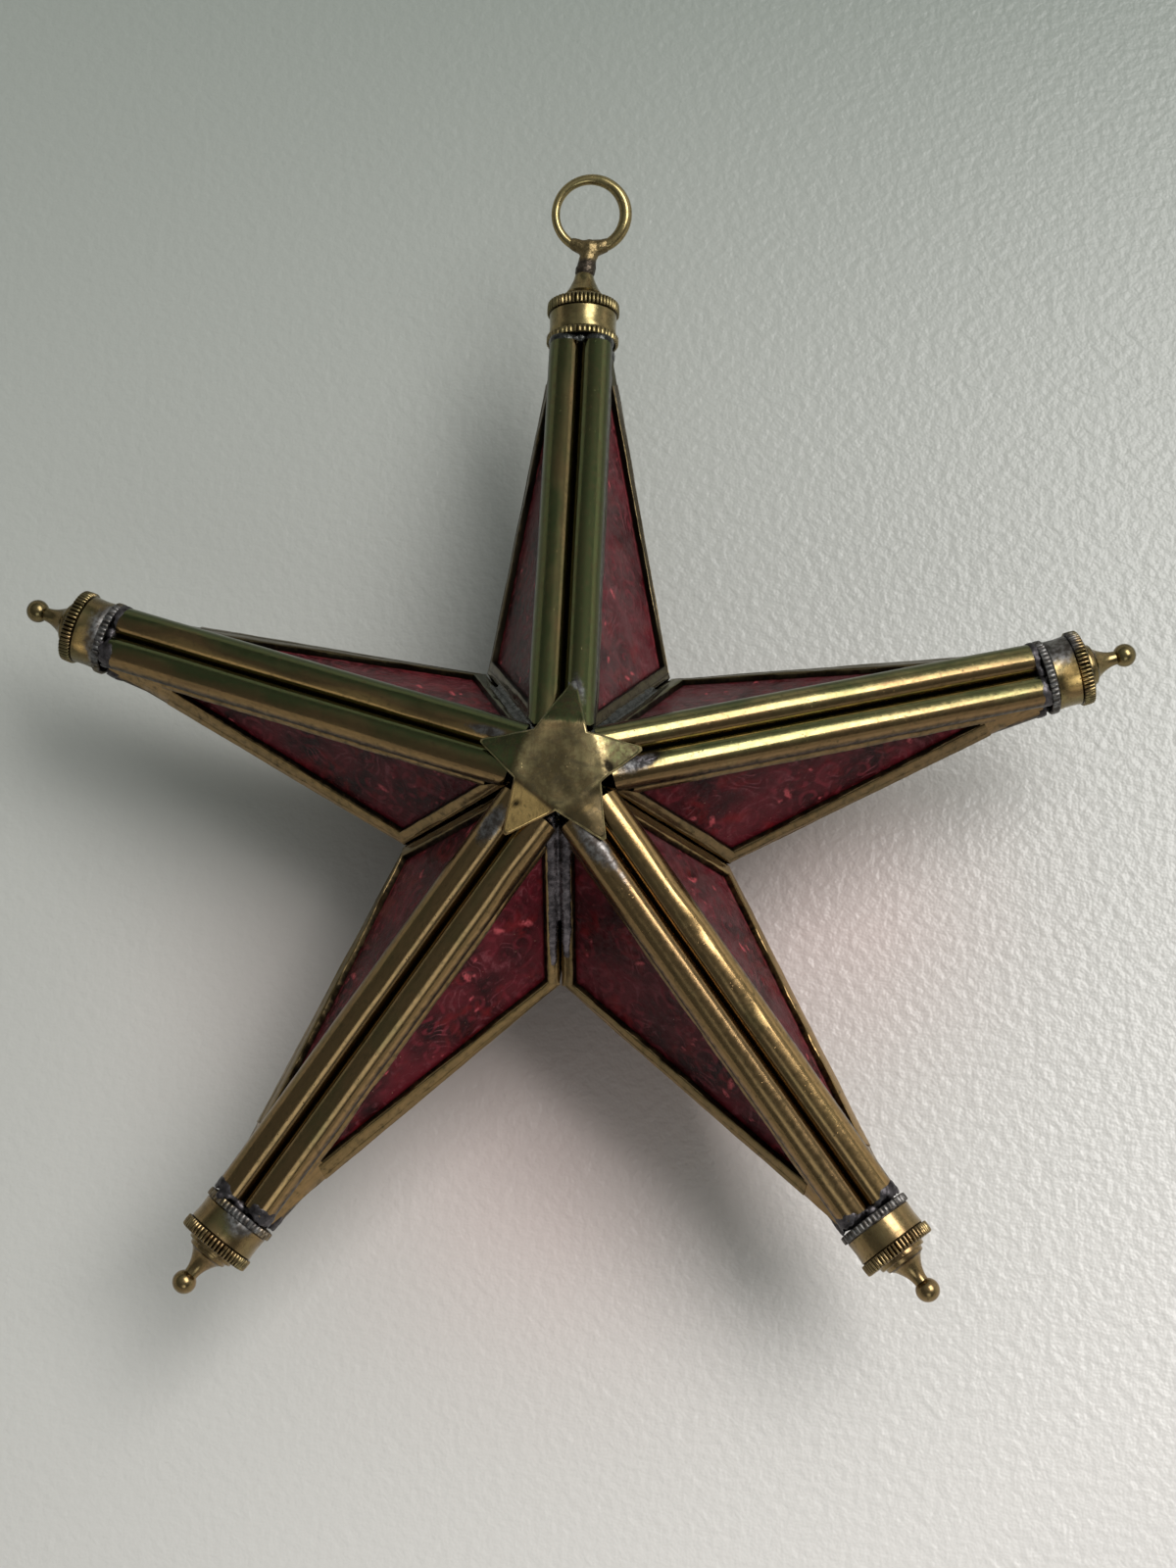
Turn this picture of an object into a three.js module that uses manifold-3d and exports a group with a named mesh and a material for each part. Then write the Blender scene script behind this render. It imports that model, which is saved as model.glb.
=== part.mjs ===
// A hanging five-pointed star of ruby glass panes in brass frames, with turned end caps and a ring.
// Millimetres. The star lies on its back: +Z is the front, +Y points to the arm with the ring.
// The origin is the middle of the back centre star's outer face, which the star rests on.
import * as THREE from "three";
import { mergeVertices } from "three/addons/utils/BufferGeometryUtils.js";
import Module from "manifold-3d";

const wasm = await Module();
wasm.setup();

// Whole star
const halfDepth = 30.7; // from the middle plane to the outer face of a centre star
const pointCount = 5;
const pitch = 360 / pointCount;
const firstArmAngle = 90;

const armReach = 83; // from the middle to the edge of a cap
const cornerReach = 28.2; // from the middle to an inner corner
const landLength = 11.5; // bare brass between the glass and the cap
const collarLength = 3; // solder that runs from the cap up the ridge tubes
const seamHalfWidth = 2.3;

// Each arm in turn, counterclockwise from the top. Soldering by hand left each one a little off the
// regular star: lean is in degrees, and share, land and collar are shares of the lengths above.
const arms = [
  { name: "top", sides: ["right", "left"], lean: 1.0, share: 1.001, land: 0.72, collar: 0.87 },
  { name: "left", sides: ["upper", "lower"], lean: -1.2, share: 1.007, land: 1.22, collar: 1 },
  { name: "lower_left", sides: ["left", "right"], lean: -0.3, share: 1.013, land: 1.15, collar: 1.27 },
  { name: "lower_right", sides: ["left", "right"], lean: 2.4, share: 0.993, land: 0.86, collar: 1.07 },
  { name: "right", sides: ["lower", "upper"], lean: -0.1, share: 0.984, land: 1.03, collar: 0.8 },
].map((arm) => ({
  ...arm,
  mouth: armReach * arm.share,
  land: landLength * arm.land,
  collar: collarLength * arm.collar,
}));

// Each inner corner, counterclockwise from the one after the top arm. seam is a share of the seam's half
// width, and 0 where the two brass edges of a valley only butt against each other.
const corners = [
  { name: "top_left", lean: -3.2, share: 0.979, seam: 0.74 },
  { name: "lower_left", lean: -4.0, share: 0.996, seam: 0 },
  { name: "bottom", lean: -0.2, share: 1.035, seam: 1 },
  { name: "lower_right", lean: 0.9, share: 0.993, seam: 0 },
  { name: "top_right", lean: 1.6, share: 1.004, seam: 0.65 },
].map((corner) => ({
  ...corner,
  reach: cornerReach * corner.share,
  seam: seamHalfWidth * corner.seam,
}));

// Clearance between neighbouring pieces
const gap = 0.3;

// Brass frames: a ridge tube with a lip beside it, and folded strips along the other two edges
const tubeRadius = 2.6;
const tubeWall = 0.5;
const tubeStart = 7.0; // distance of the tube's inner end from the middle
const tubeSetback = 1.2; // between the tube's outer end and the edge of the cap
const mouthHalfWidth = 5.1; // from the arm's axis to the outer edge of a frame, at the cap
const lipWidth = 1.7;
const edgeStripWidth = 2.7;
const valleyStripWidth = 2.4;
const brassThickness = 0.5;
const glassThickness = 1.4;
const glassSeat = 0.5; // how far a pane's edge reaches under the brass

// Solder along the valleys
const seamStart = 10.0; // from the middle of the star
const seamSetback = 1.5; // from the inner corner

// Centre stars
const plateThickness = 0.5;
const plateInnerReach = 7.1;
const plateTipReach = 14.0;
const plateTurn = -1.3;

// End caps, as distances from the edge of the cap along the arm
const capBore = 5.6;
const capBoreDepth = 5.4;
const bandRadius = 5.82;
const knurlRadius = 6.25;
const knurlDepth = 0.3;
const knurlTeeth = 40;
const mouthKnurlWidth = 1.2;
const smoothBandWidth = 4.5;
const tipKnurlWidth = 1.8;
const stepRadii = [4.1, 3.4];
const stepHeight = 0.75;
const coneRadius = 2.8;
const coneLength = 3.9;
const neckRadius = 1.15;
const ballRadius = 1.95;
const solderPlugDepth = 2.5;
const collarRadius = 6.9;
const collarTaper = 0.2; // loss of radius per millimetre of its length

// Hanging ring on the top cap
const ringRadius = 6.15; // to the middle of the wire
const wireRadius = 1.0;
const ringTilt = 12; // degrees, its far side raised
const ringShift = 0.95; // sideways from the arm's axis
const ringNeckLength = 5.2;
const ringNeckRadius = 1.75;
const ringNeckFoot = 1.45; // its radius where it stands on the cap
const ringNeckFootHeight = 1.8;

// Facets round curved surfaces
const tubeSides = 12;
const turnedSides = 20;
const solderSides = 16;
const wireSides = 8;
const ringSteps = 28;

const brass = new THREE.MeshStandardMaterial({ color: 0x8f7c42, roughness: 0.38, metalness: 0.9 });
const brightBrass = new THREE.MeshStandardMaterial({ color: 0xa8904e, roughness: 0.3, metalness: 0.95 });
const solder = new THREE.MeshStandardMaterial({ color: 0x6f7072, roughness: 0.5, metalness: 0.8 });
const rubyGlass = new THREE.MeshStandardMaterial({
  color: 0x5c0f20,
  roughness: 0.15,
  metalness: 0,
  transparent: true,
  opacity: 0.8,
});

const radians = THREE.MathUtils.degToRad;
const up = new THREE.Vector3(0, 1, 0);

const armAngle = (index) => firstArmAngle + index * pitch + arms[index].lean;
const cornerAngle = (index) => firstArmAngle + (index + 0.5) * pitch + corners[index].lean;

// Solids and meshes

function solid(geometry) {
  const bare = geometry.clone();
  bare.deleteAttribute("normal");
  bare.deleteAttribute("uv");
  const merged = mergeVertices(bare, 1e-4);
  return new wasm.Manifold(
    new wasm.Mesh({
      numProp: 3,
      vertProperties: new Float32Array(merged.attributes.position.array),
      triVerts: new Uint32Array(merged.index.array),
    }),
  );
}

function addMesh(parent, name, body, material) {
  const { vertProperties, triVerts } = body.getMesh();
  const geometry = new THREE.BufferGeometry();
  geometry.setAttribute("position", new THREE.BufferAttribute(vertProperties, 3));
  geometry.setIndex(new THREE.BufferAttribute(triVerts, 1));
  geometry.computeVertexNormals();
  const mesh = new THREE.Mesh(geometry, material);
  mesh.name = name;
  parent.add(mesh);
  return mesh;
}

// A round bar from one point to another
function bar(from, to, radius, sides = tubeSides) {
  const along = to.clone().sub(from);
  const geometry = new THREE.CylinderGeometry(radius, radius, along.length(), sides);
  const turn = new THREE.Quaternion().setFromUnitVectors(up, along.clone().normalize());
  const middle = from.clone().add(to).multiplyScalar(0.5);
  return solid(geometry.applyQuaternion(turn).translate(middle.x, middle.y, middle.z));
}

function lathe(points, sides = turnedSides) {
  return solid(new THREE.LatheGeometry(points, sides));
}

const keepBeyond = (body, normal, distance) => body.trimByPlane(normal.toArray(), distance);

// Facets. Each arm has four, alike but for their inner corners. One is worked out in the arm's own
// frame, +Y along the arm, on the side where X and Z are positive.

const plateBend = plateInnerReach * Math.cos(radians(pitch / 2));

// The ridge tubes touch front to back at the cap, and their crests meet the centre star's rim.
function ridgeSlope(arm) {
  const rise = halfDepth - plateThickness - gap - (tubeRadius + gap / 2);
  const run = arm.mouth - plateBend;
  return Math.atan2(rise, run) - Math.asin(tubeRadius / Math.hypot(rise, run));
}

function inset(triangle, insets) {
  const lines = triangle.map((from, i) => {
    const along = triangle[(i + 1) % 3].clone().sub(from).normalize();
    const inward = new THREE.Vector2(-along.y, along.x);
    return { point: from.clone().addScaledVector(inward, insets[i]), along };
  });
  return lines.map((line, i) => {
    const before = lines[(i + 2) % 3];
    const apart = line.point.clone().sub(before.point);
    const share = apart.cross(line.along) / before.along.cross(line.along);
    return before.point.clone().addScaledVector(before.along, share);
  });
}

function makeFacet(arm, corner, openingAngle) {
  const slope = ridgeSlope(arm);
  const alongRidge = new THREE.Vector3(0, Math.cos(slope), -Math.sin(slope));
  const tubeOffset = tubeRadius + gap / 2;
  const tubeEnd = new THREE.Vector3(tubeOffset, arm.mouth, tubeOffset);
  const innerCorner = new THREE.Vector3(
    corner.reach * Math.sin(openingAngle),
    corner.reach * Math.cos(openingAngle),
    0,
  );
  const edgeEnd = new THREE.Vector3(mouthHalfWidth, arm.mouth, 0);
  const alongEdge = edgeEnd.clone().sub(innerCorner).normalize();
  const outward = alongRidge.clone().cross(alongEdge).normalize();
  const toRidge = outward.clone().cross(alongRidge);
  const place = new THREE.Matrix4().makeBasis(alongRidge, toRidge, outward).setPosition(innerCorner);
  const flat = (point) => {
    const local = point.clone().sub(innerCorner);
    return new THREE.Vector2(local.dot(alongRidge), local.dot(toRidge));
  };
  const apex = new THREE.Vector3(0, 0, outward.dot(innerCorner) / outward.z);
  const ridgeLine = flat(tubeEnd).y;
  const edgeWay = flat(innerCorner.clone().add(alongEdge));
  const valleyWay = flat(apex);
  const outline = [
    new THREE.Vector2(0, 0),
    edgeWay.clone().multiplyScalar(ridgeLine / edgeWay.y),
    valleyWay.clone().multiplyScalar(ridgeLine / valleyWay.y),
  ];
  return { arm, innerCorner, alongRidge, tubeEnd, outward, place, outline };
}

// A flat piece of a facet: a triangle of its plane, between two depths under its outer surface
function slab(facet, triangle, depthFrom, depthTo) {
  const geometry = new THREE.ExtrudeGeometry(new THREE.Shape(triangle), {
    depth: depthTo - depthFrom,
    bevelEnabled: false,
  });
  return solid(geometry.translate(0, 0, -depthTo).applyMatrix4(facet.place));
}

function ridgeBar(facet, radius) {
  const reach = facet.arm.mouth / facet.alongRidge.y;
  const inner = facet.tubeEnd.clone().addScaledVector(facet.alongRidge, -reach);
  const outer = facet.tubeEnd.clone().addScaledVector(facet.alongRidge, tubeRadius);
  return bar(inner, outer, radius);
}

const windowInsets = [edgeStripWidth, tubeRadius + lipWidth, valleyStripWidth];
const frameDepth = glassThickness + 2 * gap + 2 * brassThickness;

// The shape of a facet's window, grown all round so that it reaches under the brass
function windowSlab(facet, growth, depthFrom, depthTo) {
  const insets = windowInsets.map((width) => width - growth);
  const body = slab(facet, inset(facet.outline, insets), depthFrom, depthTo);
  return keepBeyond(body, new THREE.Vector3(0, -1, 0), facet.arm.land - growth - facet.arm.mouth);
}

function frameSolid(facet) {
  let body = slab(facet, facet.outline, 0, frameDepth).add(ridgeBar(facet, tubeRadius));
  body = body.subtract(windowSlab(facet, 0, -gap, frameDepth + gap));
  body = body.subtract(
    windowSlab(facet, glassSeat + gap, brassThickness, frameDepth - brassThickness),
  );
  body = body.subtract(ridgeBar(facet, tubeRadius - tubeWall));
  const valleySide = new THREE.Vector3(-facet.innerCorner.y, facet.innerCorner.x, 0).normalize();
  body = keepBeyond(body, valleySide, gap / 2);
  body = keepBeyond(body, new THREE.Vector3(1, 0, 0), gap / 2);
  body = keepBeyond(body, new THREE.Vector3(0, 0, 1), gap / 2);
  body = keepBeyond(body, new THREE.Vector3(0, 1, 0), tubeStart);
  return keepBeyond(body, new THREE.Vector3(0, -1, 0), tubeSetback - facet.arm.mouth);
}

function paneSolid(facet) {
  const top = brassThickness + gap;
  return windowSlab(facet, glassSeat, top, top + glassThickness);
}

// The space that a frame and its clearance take, for the solder that flows round it
function frameRoom(facet) {
  const outer = inset(facet.outline, [-gap, -gap, -gap]);
  const body = slab(facet, outer, -gap, frameDepth + gap).add(ridgeBar(facet, tubeRadius + gap));
  return keepBeyond(body, new THREE.Vector3(0, -1, 0), tubeSetback - gap - facet.arm.mouth);
}

// Turned end caps

function knurl(from, width) {
  const outline = [];
  for (let i = 0; i < 2 * knurlTeeth; i += 1) {
    const angle = (Math.PI * i) / knurlTeeth;
    const radius = i % 2 ? knurlRadius - knurlDepth : knurlRadius;
    outline.push(new THREE.Vector2(radius * Math.cos(angle), radius * Math.sin(angle)));
  }
  const options = { depth: width, bevelEnabled: false };
  const geometry = new THREE.ExtrudeGeometry(new THREE.Shape(outline), options);
  return solid(geometry.rotateX(-Math.PI / 2).translate(0, from, 0));
}

const tipKnurlStart = mouthKnurlWidth + smoothBandWidth;
const capShoulder = tipKnurlStart + tipKnurlWidth;
const coneStart = capShoulder + stepRadii.length * stepHeight;
const coneEnd = coneStart + coneLength;

function capProfile(withBall) {
  const points = [new THREE.Vector2(0, 0), new THREE.Vector2(bandRadius, 0)];
  let height = capShoulder;
  let radius = bandRadius;
  for (const stepRadius of stepRadii) {
    points.push(new THREE.Vector2(radius, height), new THREE.Vector2(stepRadius, height));
    radius = stepRadius;
    height += stepHeight;
  }
  points.push(new THREE.Vector2(radius, coneStart));
  const coneSteps = 4;
  for (let i = 0; i <= coneSteps; i += 1) {
    const left = 1 - i / coneSteps;
    const coneHeight = coneEnd - left * coneLength;
    points.push(new THREE.Vector2(neckRadius + (coneRadius - neckRadius) * left * left, coneHeight));
  }
  if (!withBall) {
    points.push(new THREE.Vector2(0, coneEnd));
    return points;
  }
  const start = Math.asin(neckRadius / ballRadius);
  const ballMiddle = coneEnd + ballRadius * Math.cos(start);
  const ballSteps = 6;
  for (let i = 1; i <= ballSteps; i += 1) {
    const angle = start + ((Math.PI - start) * i) / ballSteps;
    const radiusThere = i < ballSteps ? ballRadius * Math.sin(angle) : 0;
    points.push(new THREE.Vector2(radiusThere, ballMiddle - ballRadius * Math.cos(angle)));
  }
  return points;
}

function capSolid(withBall) {
  const mouthMiddle = new THREE.Vector3(0, -gap, 0);
  const bore = bar(mouthMiddle, new THREE.Vector3(0, capBoreDepth, 0), capBore, turnedSides);
  return lathe(capProfile(withBall))
    .add(knurl(0, mouthKnurlWidth))
    .add(knurl(tipKnurlStart, tipKnurlWidth))
    .subtract(bore);
}

// Solder that plugs a cap round the ends of its four frames, and runs up between the tubes
function capSolder(arm, facets) {
  const profile = [
    new THREE.Vector2(0, -arm.collar),
    new THREE.Vector2(collarRadius - collarTaper * arm.collar, -arm.collar),
    new THREE.Vector2(collarRadius, -tubeSetback),
    new THREE.Vector2(collarRadius - gap, -gap),
    new THREE.Vector2(capBore - gap, -gap),
    new THREE.Vector2(capBore - gap, solderPlugDepth),
    new THREE.Vector2(0, solderPlugDepth),
  ];
  let body = lathe(profile, solderSides).translate([0, arm.mouth, 0]);
  for (const { facet, side } of facets) {
    for (const face of [1, -1]) {
      body = body.subtract(frameRoom(facet).scale([side, 1, face]));
    }
  }
  return body;
}

// Centre star: a flat pentagon whose five points bend down along the ridges
function centreStar() {
  const top = [];
  for (let k = 0; k < pointCount; k += 1) {
    const tipAngle = radians(firstArmAngle + k * pitch + plateTurn);
    const drop = Math.tan(ridgeSlope(arms[k])) * (plateTipReach - plateBend);
    const [tipX, tipY] = [plateTipReach * Math.cos(tipAngle), plateTipReach * Math.sin(tipAngle)];
    top.push(new THREE.Vector3(tipX, tipY, halfDepth - drop));
    const innerAngle = tipAngle + radians(pitch / 2);
    const [x, y] = [plateInnerReach * Math.cos(innerAngle), plateInnerReach * Math.sin(innerAngle)];
    top.push(new THREE.Vector3(x, y, halfDepth));
  }
  const count = top.length;
  const bottom = top.map((point) => point.clone().setZ(point.z - plateThickness));
  const triangles = [];
  for (let i = 0; i < count; i += 1) {
    const next = (i + 1) % count;
    triangles.push([i, i + count, next], [next, i + count, next + count]);
  }
  const face = [];
  for (let tip = 0; tip < count; tip += 2) {
    face.push([(tip + count - 1) % count, tip, tip + 1]);
  }
  for (let inner = 3; inner + 2 < count; inner += 2) {
    face.push([1, inner, inner + 2]);
  }
  for (const [a, b, c] of face) {
    triangles.push([a, b, c], [a + count, c + count, b + count]);
  }
  const geometry = new THREE.BufferGeometry();
  geometry.setFromPoints([...top, ...bottom]);
  geometry.setIndex(triangles.flat());
  return solid(geometry);
}

// Solder along a valley, between the facets on its two sides
function valleySolder(corner, angle, sides) {
  const way = new THREE.Vector3(Math.cos(angle), Math.sin(angle), 0);
  const apexHeights = sides.map(({ outward, through }) => outward.dot(through) / outward.z);
  const onValley = (reach) => {
    const height = Math.min(...apexHeights) * (1 - reach / corner.reach);
    return way.clone().multiplyScalar(reach).setZ(height);
  };
  let body = bar(onValley(seamStart), onValley(corner.reach - seamSetback), corner.seam + gap);
  for (const { outward, through, room } of sides) {
    body = keepBeyond(body, outward, outward.dot(through) + gap);
    body = body.subtract(room);
  }
  return body;
}

// Hanging ring and the soldered neck that carries it
function ringGeometry(wire) {
  const geometry = new THREE.TorusGeometry(ringRadius, wire, wireSides, ringSteps);
  geometry.rotateX(radians(ringTilt));
  const lift = ringRadius * Math.sin(radians(ringTilt));
  const reach = coneEnd + ringNeckLength + ringRadius * Math.cos(radians(ringTilt));
  return solid(geometry.translate(ringShift, reach, lift));
}

function ringNeck() {
  const foot = coneEnd + gap;
  const top = coneEnd + ringNeckLength;
  const profile = [
    new THREE.Vector2(0, foot),
    new THREE.Vector2(ringNeckFoot, foot),
    new THREE.Vector2(ringNeckRadius, foot + ringNeckFootHeight),
    new THREE.Vector2(ringNeckRadius, top),
    new THREE.Vector2(0, top),
  ];
  return lathe(profile, solderSides).subtract(ringGeometry(wireRadius + gap));
}

// Assembly
const star = new THREE.Group();
const middle = new THREE.Group();
middle.position.z = halfDepth;
star.add(middle);

const valleySides = corners.map(() => []);
arms.forEach((arm, k) => {
  const group = new THREE.Group();
  const turn = radians(armAngle(k) - firstArmAngle);
  group.rotation.z = turn;
  middle.add(group);
  const facets = arm.sides.map((sideName, s) => {
    const side = s === 0 ? 1 : -1;
    const cornerIndex = s === 0 ? (k + pointCount - 1) % pointCount : k;
    const turned = THREE.MathUtils.euclideanModulo(cornerAngle(cornerIndex) - armAngle(k), 360);
    const facet = makeFacet(arm, corners[cornerIndex], radians(Math.min(turned, 360 - turned)));
    const frame = frameSolid(facet);
    const pane = paneSolid(facet);
    for (const [faceName, face] of [["front", 1], ["back", -1]]) {
      const ending = `${arm.name}_${sideName}_${faceName}`;
      addMesh(group, `frame_${ending}`, frame, brass).scale.set(side, 1, face);
      addMesh(group, `glass_${ending}`, pane, rubyGlass).scale.set(side, 1, face);
    }
    const world = new THREE.Matrix4().makeRotationZ(turn).scale(new THREE.Vector3(side, 1, 1));
    valleySides[cornerIndex].push({
      outward: facet.outward.clone().transformDirection(world),
      through: facet.innerCorner.clone().applyMatrix4(world),
      room: ridgeBar(facet, tubeRadius + gap).transform(world.toArray()),
    });
    return { facet, side };
  });
  addMesh(group, `solder_cap_${arm.name}`, capSolder(arm, facets), solder);
  addMesh(group, `cap_${arm.name}`, capSolid(k > 0), brightBrass).position.y = arm.mouth;
  if (k === 0) {
    addMesh(group, "hanging_ring", ringGeometry(wireRadius), brightBrass).position.y = arm.mouth;
    addMesh(group, "solder_ring_neck", ringNeck(), solder).position.y = arm.mouth;
  }
});

corners.forEach((corner, k) => {
  if (corner.seam === 0) return;
  const body = valleySolder(corner, radians(cornerAngle(k)), valleySides[k]);
  for (const [faceName, face] of [["front", 1], ["back", -1]]) {
    addMesh(middle, `solder_valley_${corner.name}_${faceName}`, body, solder).scale.z = face;
  }
});

const plate = centreStar();
addMesh(middle, "centre_star_front", plate, brass);
addMesh(middle, "centre_star_back", plate, brass).scale.z = -1;

export default star;
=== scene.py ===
"""Looks of a hanging five-pointed star of ruby glass panes in soldered brass frames."""
import math
import random

import bmesh
import bpy
import numpy as np
from mathutils import Matrix, Vector, noise


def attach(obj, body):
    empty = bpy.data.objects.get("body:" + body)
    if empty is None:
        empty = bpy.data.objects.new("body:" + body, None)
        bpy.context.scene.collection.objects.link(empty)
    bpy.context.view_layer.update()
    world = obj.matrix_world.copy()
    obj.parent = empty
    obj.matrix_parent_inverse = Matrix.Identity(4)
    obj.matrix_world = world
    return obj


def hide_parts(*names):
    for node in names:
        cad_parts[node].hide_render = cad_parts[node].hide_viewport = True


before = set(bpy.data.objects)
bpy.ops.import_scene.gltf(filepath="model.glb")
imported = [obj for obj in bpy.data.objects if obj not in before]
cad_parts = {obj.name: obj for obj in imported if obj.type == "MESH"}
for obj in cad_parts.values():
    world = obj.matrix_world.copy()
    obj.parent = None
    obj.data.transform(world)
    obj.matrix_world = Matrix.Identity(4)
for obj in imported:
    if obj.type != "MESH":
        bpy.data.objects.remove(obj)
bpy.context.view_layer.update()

# The star's main sizes, in millimetres, as in the solids
HALF_DEPTH = 30.7
PITCH = 72.0
ARM_REACH = 83.0
CORNER_REACH = 28.2
LAND = 11.5
GAP = 0.3
TUBE_RADIUS = 2.6
TUBE_WALL = 0.45
TUBE_START = 7.0
TUBE_SETBACK = 1.2
MOUTH_HALF_WIDTH = 5.1
LIP = 1.7
VALLEY_STRIP = 2.4
PLATE_THICKNESS = 0.5
PLATE_INNER = 7.1
PLATE_TIP = 14.0
PLATE_TURN = -1.3

# Arm: name, its two sides, lean in degrees, shares of reach and land
ARMS = (
    ("top", ("right", "left"), 1.0, 1.001, 0.72),
    ("left", ("upper", "lower"), -1.2, 1.007, 1.22),
    ("lower_left", ("left", "right"), -0.3, 1.013, 1.15),
    ("lower_right", ("left", "right"), 2.4, 0.993, 0.86),
    ("right", ("lower", "upper"), -0.1, 0.984, 1.03),
)
# Inner corner: name, lean in degrees, share of reach
CORNERS = (
    ("top_left", -3.2, 0.979),
    ("lower_left", -4.0, 0.996),
    ("bottom", -0.2, 1.035),
    ("lower_right", 0.9, 0.993),
    ("top_right", 1.6, 1.004),
)
# Width of the edge strip of each facet
EDGE_STRIPS = {
    "top_right": 1.25, "top_left": 1.25,
    "left_upper": 1.35, "left_lower": 2.7,
    "lower_left_left": 1.3, "lower_left_right": 2.4,
    "lower_right_left": 1.9, "lower_right_right": 1.8,
    "right_lower": 2.3, "right_upper": 1.35,
}
# Green and coppery shares of each facet's brass, at the lip and at the gap, and its dull share
# Coppery shares above 1.3 turn bright orange; on the left arm's tubes that orange is a painted highlight
TONES = {
    "top_right": ((1.15, 0.95), (0.1, 0.7), 0.5), "top_left": ((1.35, 0.35), (0.0, 0.9), 0.45),
    "left_upper": ((1.5, -0.4), (0.0, 1.75), -0.4), "left_lower": ((-0.1, 1.5), (1.4, 0.1), -0.2),
    "lower_left_left": ((0.2, 0.0), (1.35, 1.2), 0.0), "lower_left_right": ((0.0, 0.3), (1.4, 0.9), 0.1),
    "lower_right_left": ((0.0, 0.0), (1.35, 1.3), 0.1), "lower_right_right": ((0.0, 0.15), (1.5, 1.3), 0.1),
    "right_lower": ((0.0, 0.85), (1.0, -0.2), -0.1), "right_upper": ((0.75, 0.0), (0.0, 1.1), -0.1),
}
# Grime on the sheet strips of each arm
STRIP_GRIME = {"top": 0.38, "left": 0.22, "lower_left": 0.15, "lower_right": 0.12, "right": 0.15}
# Green, coppery and dull shares of each cap's brass
CAP_TONES = {
    "top": (0.35, 0.3, 0.3), "left": (0.40, 0.65, 0.35), "lower_left": (0.15, 0.6, 0.2),
    "lower_right": (0.0, 0.55, 0.1), "right": (0.35, 0.5, 0.15),
}

PLATE_BEND = PLATE_INNER * math.cos(math.radians(PITCH / 2))
# Shapes are worked out in millimetres, the scene is in metres
METRE = 1000
MIDDLE = Matrix.Translation((0, 0, HALF_DEPTH / METRE))
FACES = (("front", 1), ("back", -1))


def arm_angle(k):
    return 90 + k * PITCH + ARMS[k][2]


def corner_angle(k):
    return 90 + (k + 0.5) * PITCH + CORNERS[k][1]


def arm_mouth(k):
    return ARM_REACH * ARMS[k][3]


def arm_matrix(k):
    return MIDDLE @ Matrix.Rotation(math.radians(arm_angle(k) - 90), 4, "Z")


def wobble(*place):
    """Smooth noise about zero."""
    return noise.noise(place)


# Mesh making

CHANNELS = ("green", "warm", "aged", "grime", "tin")

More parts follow.
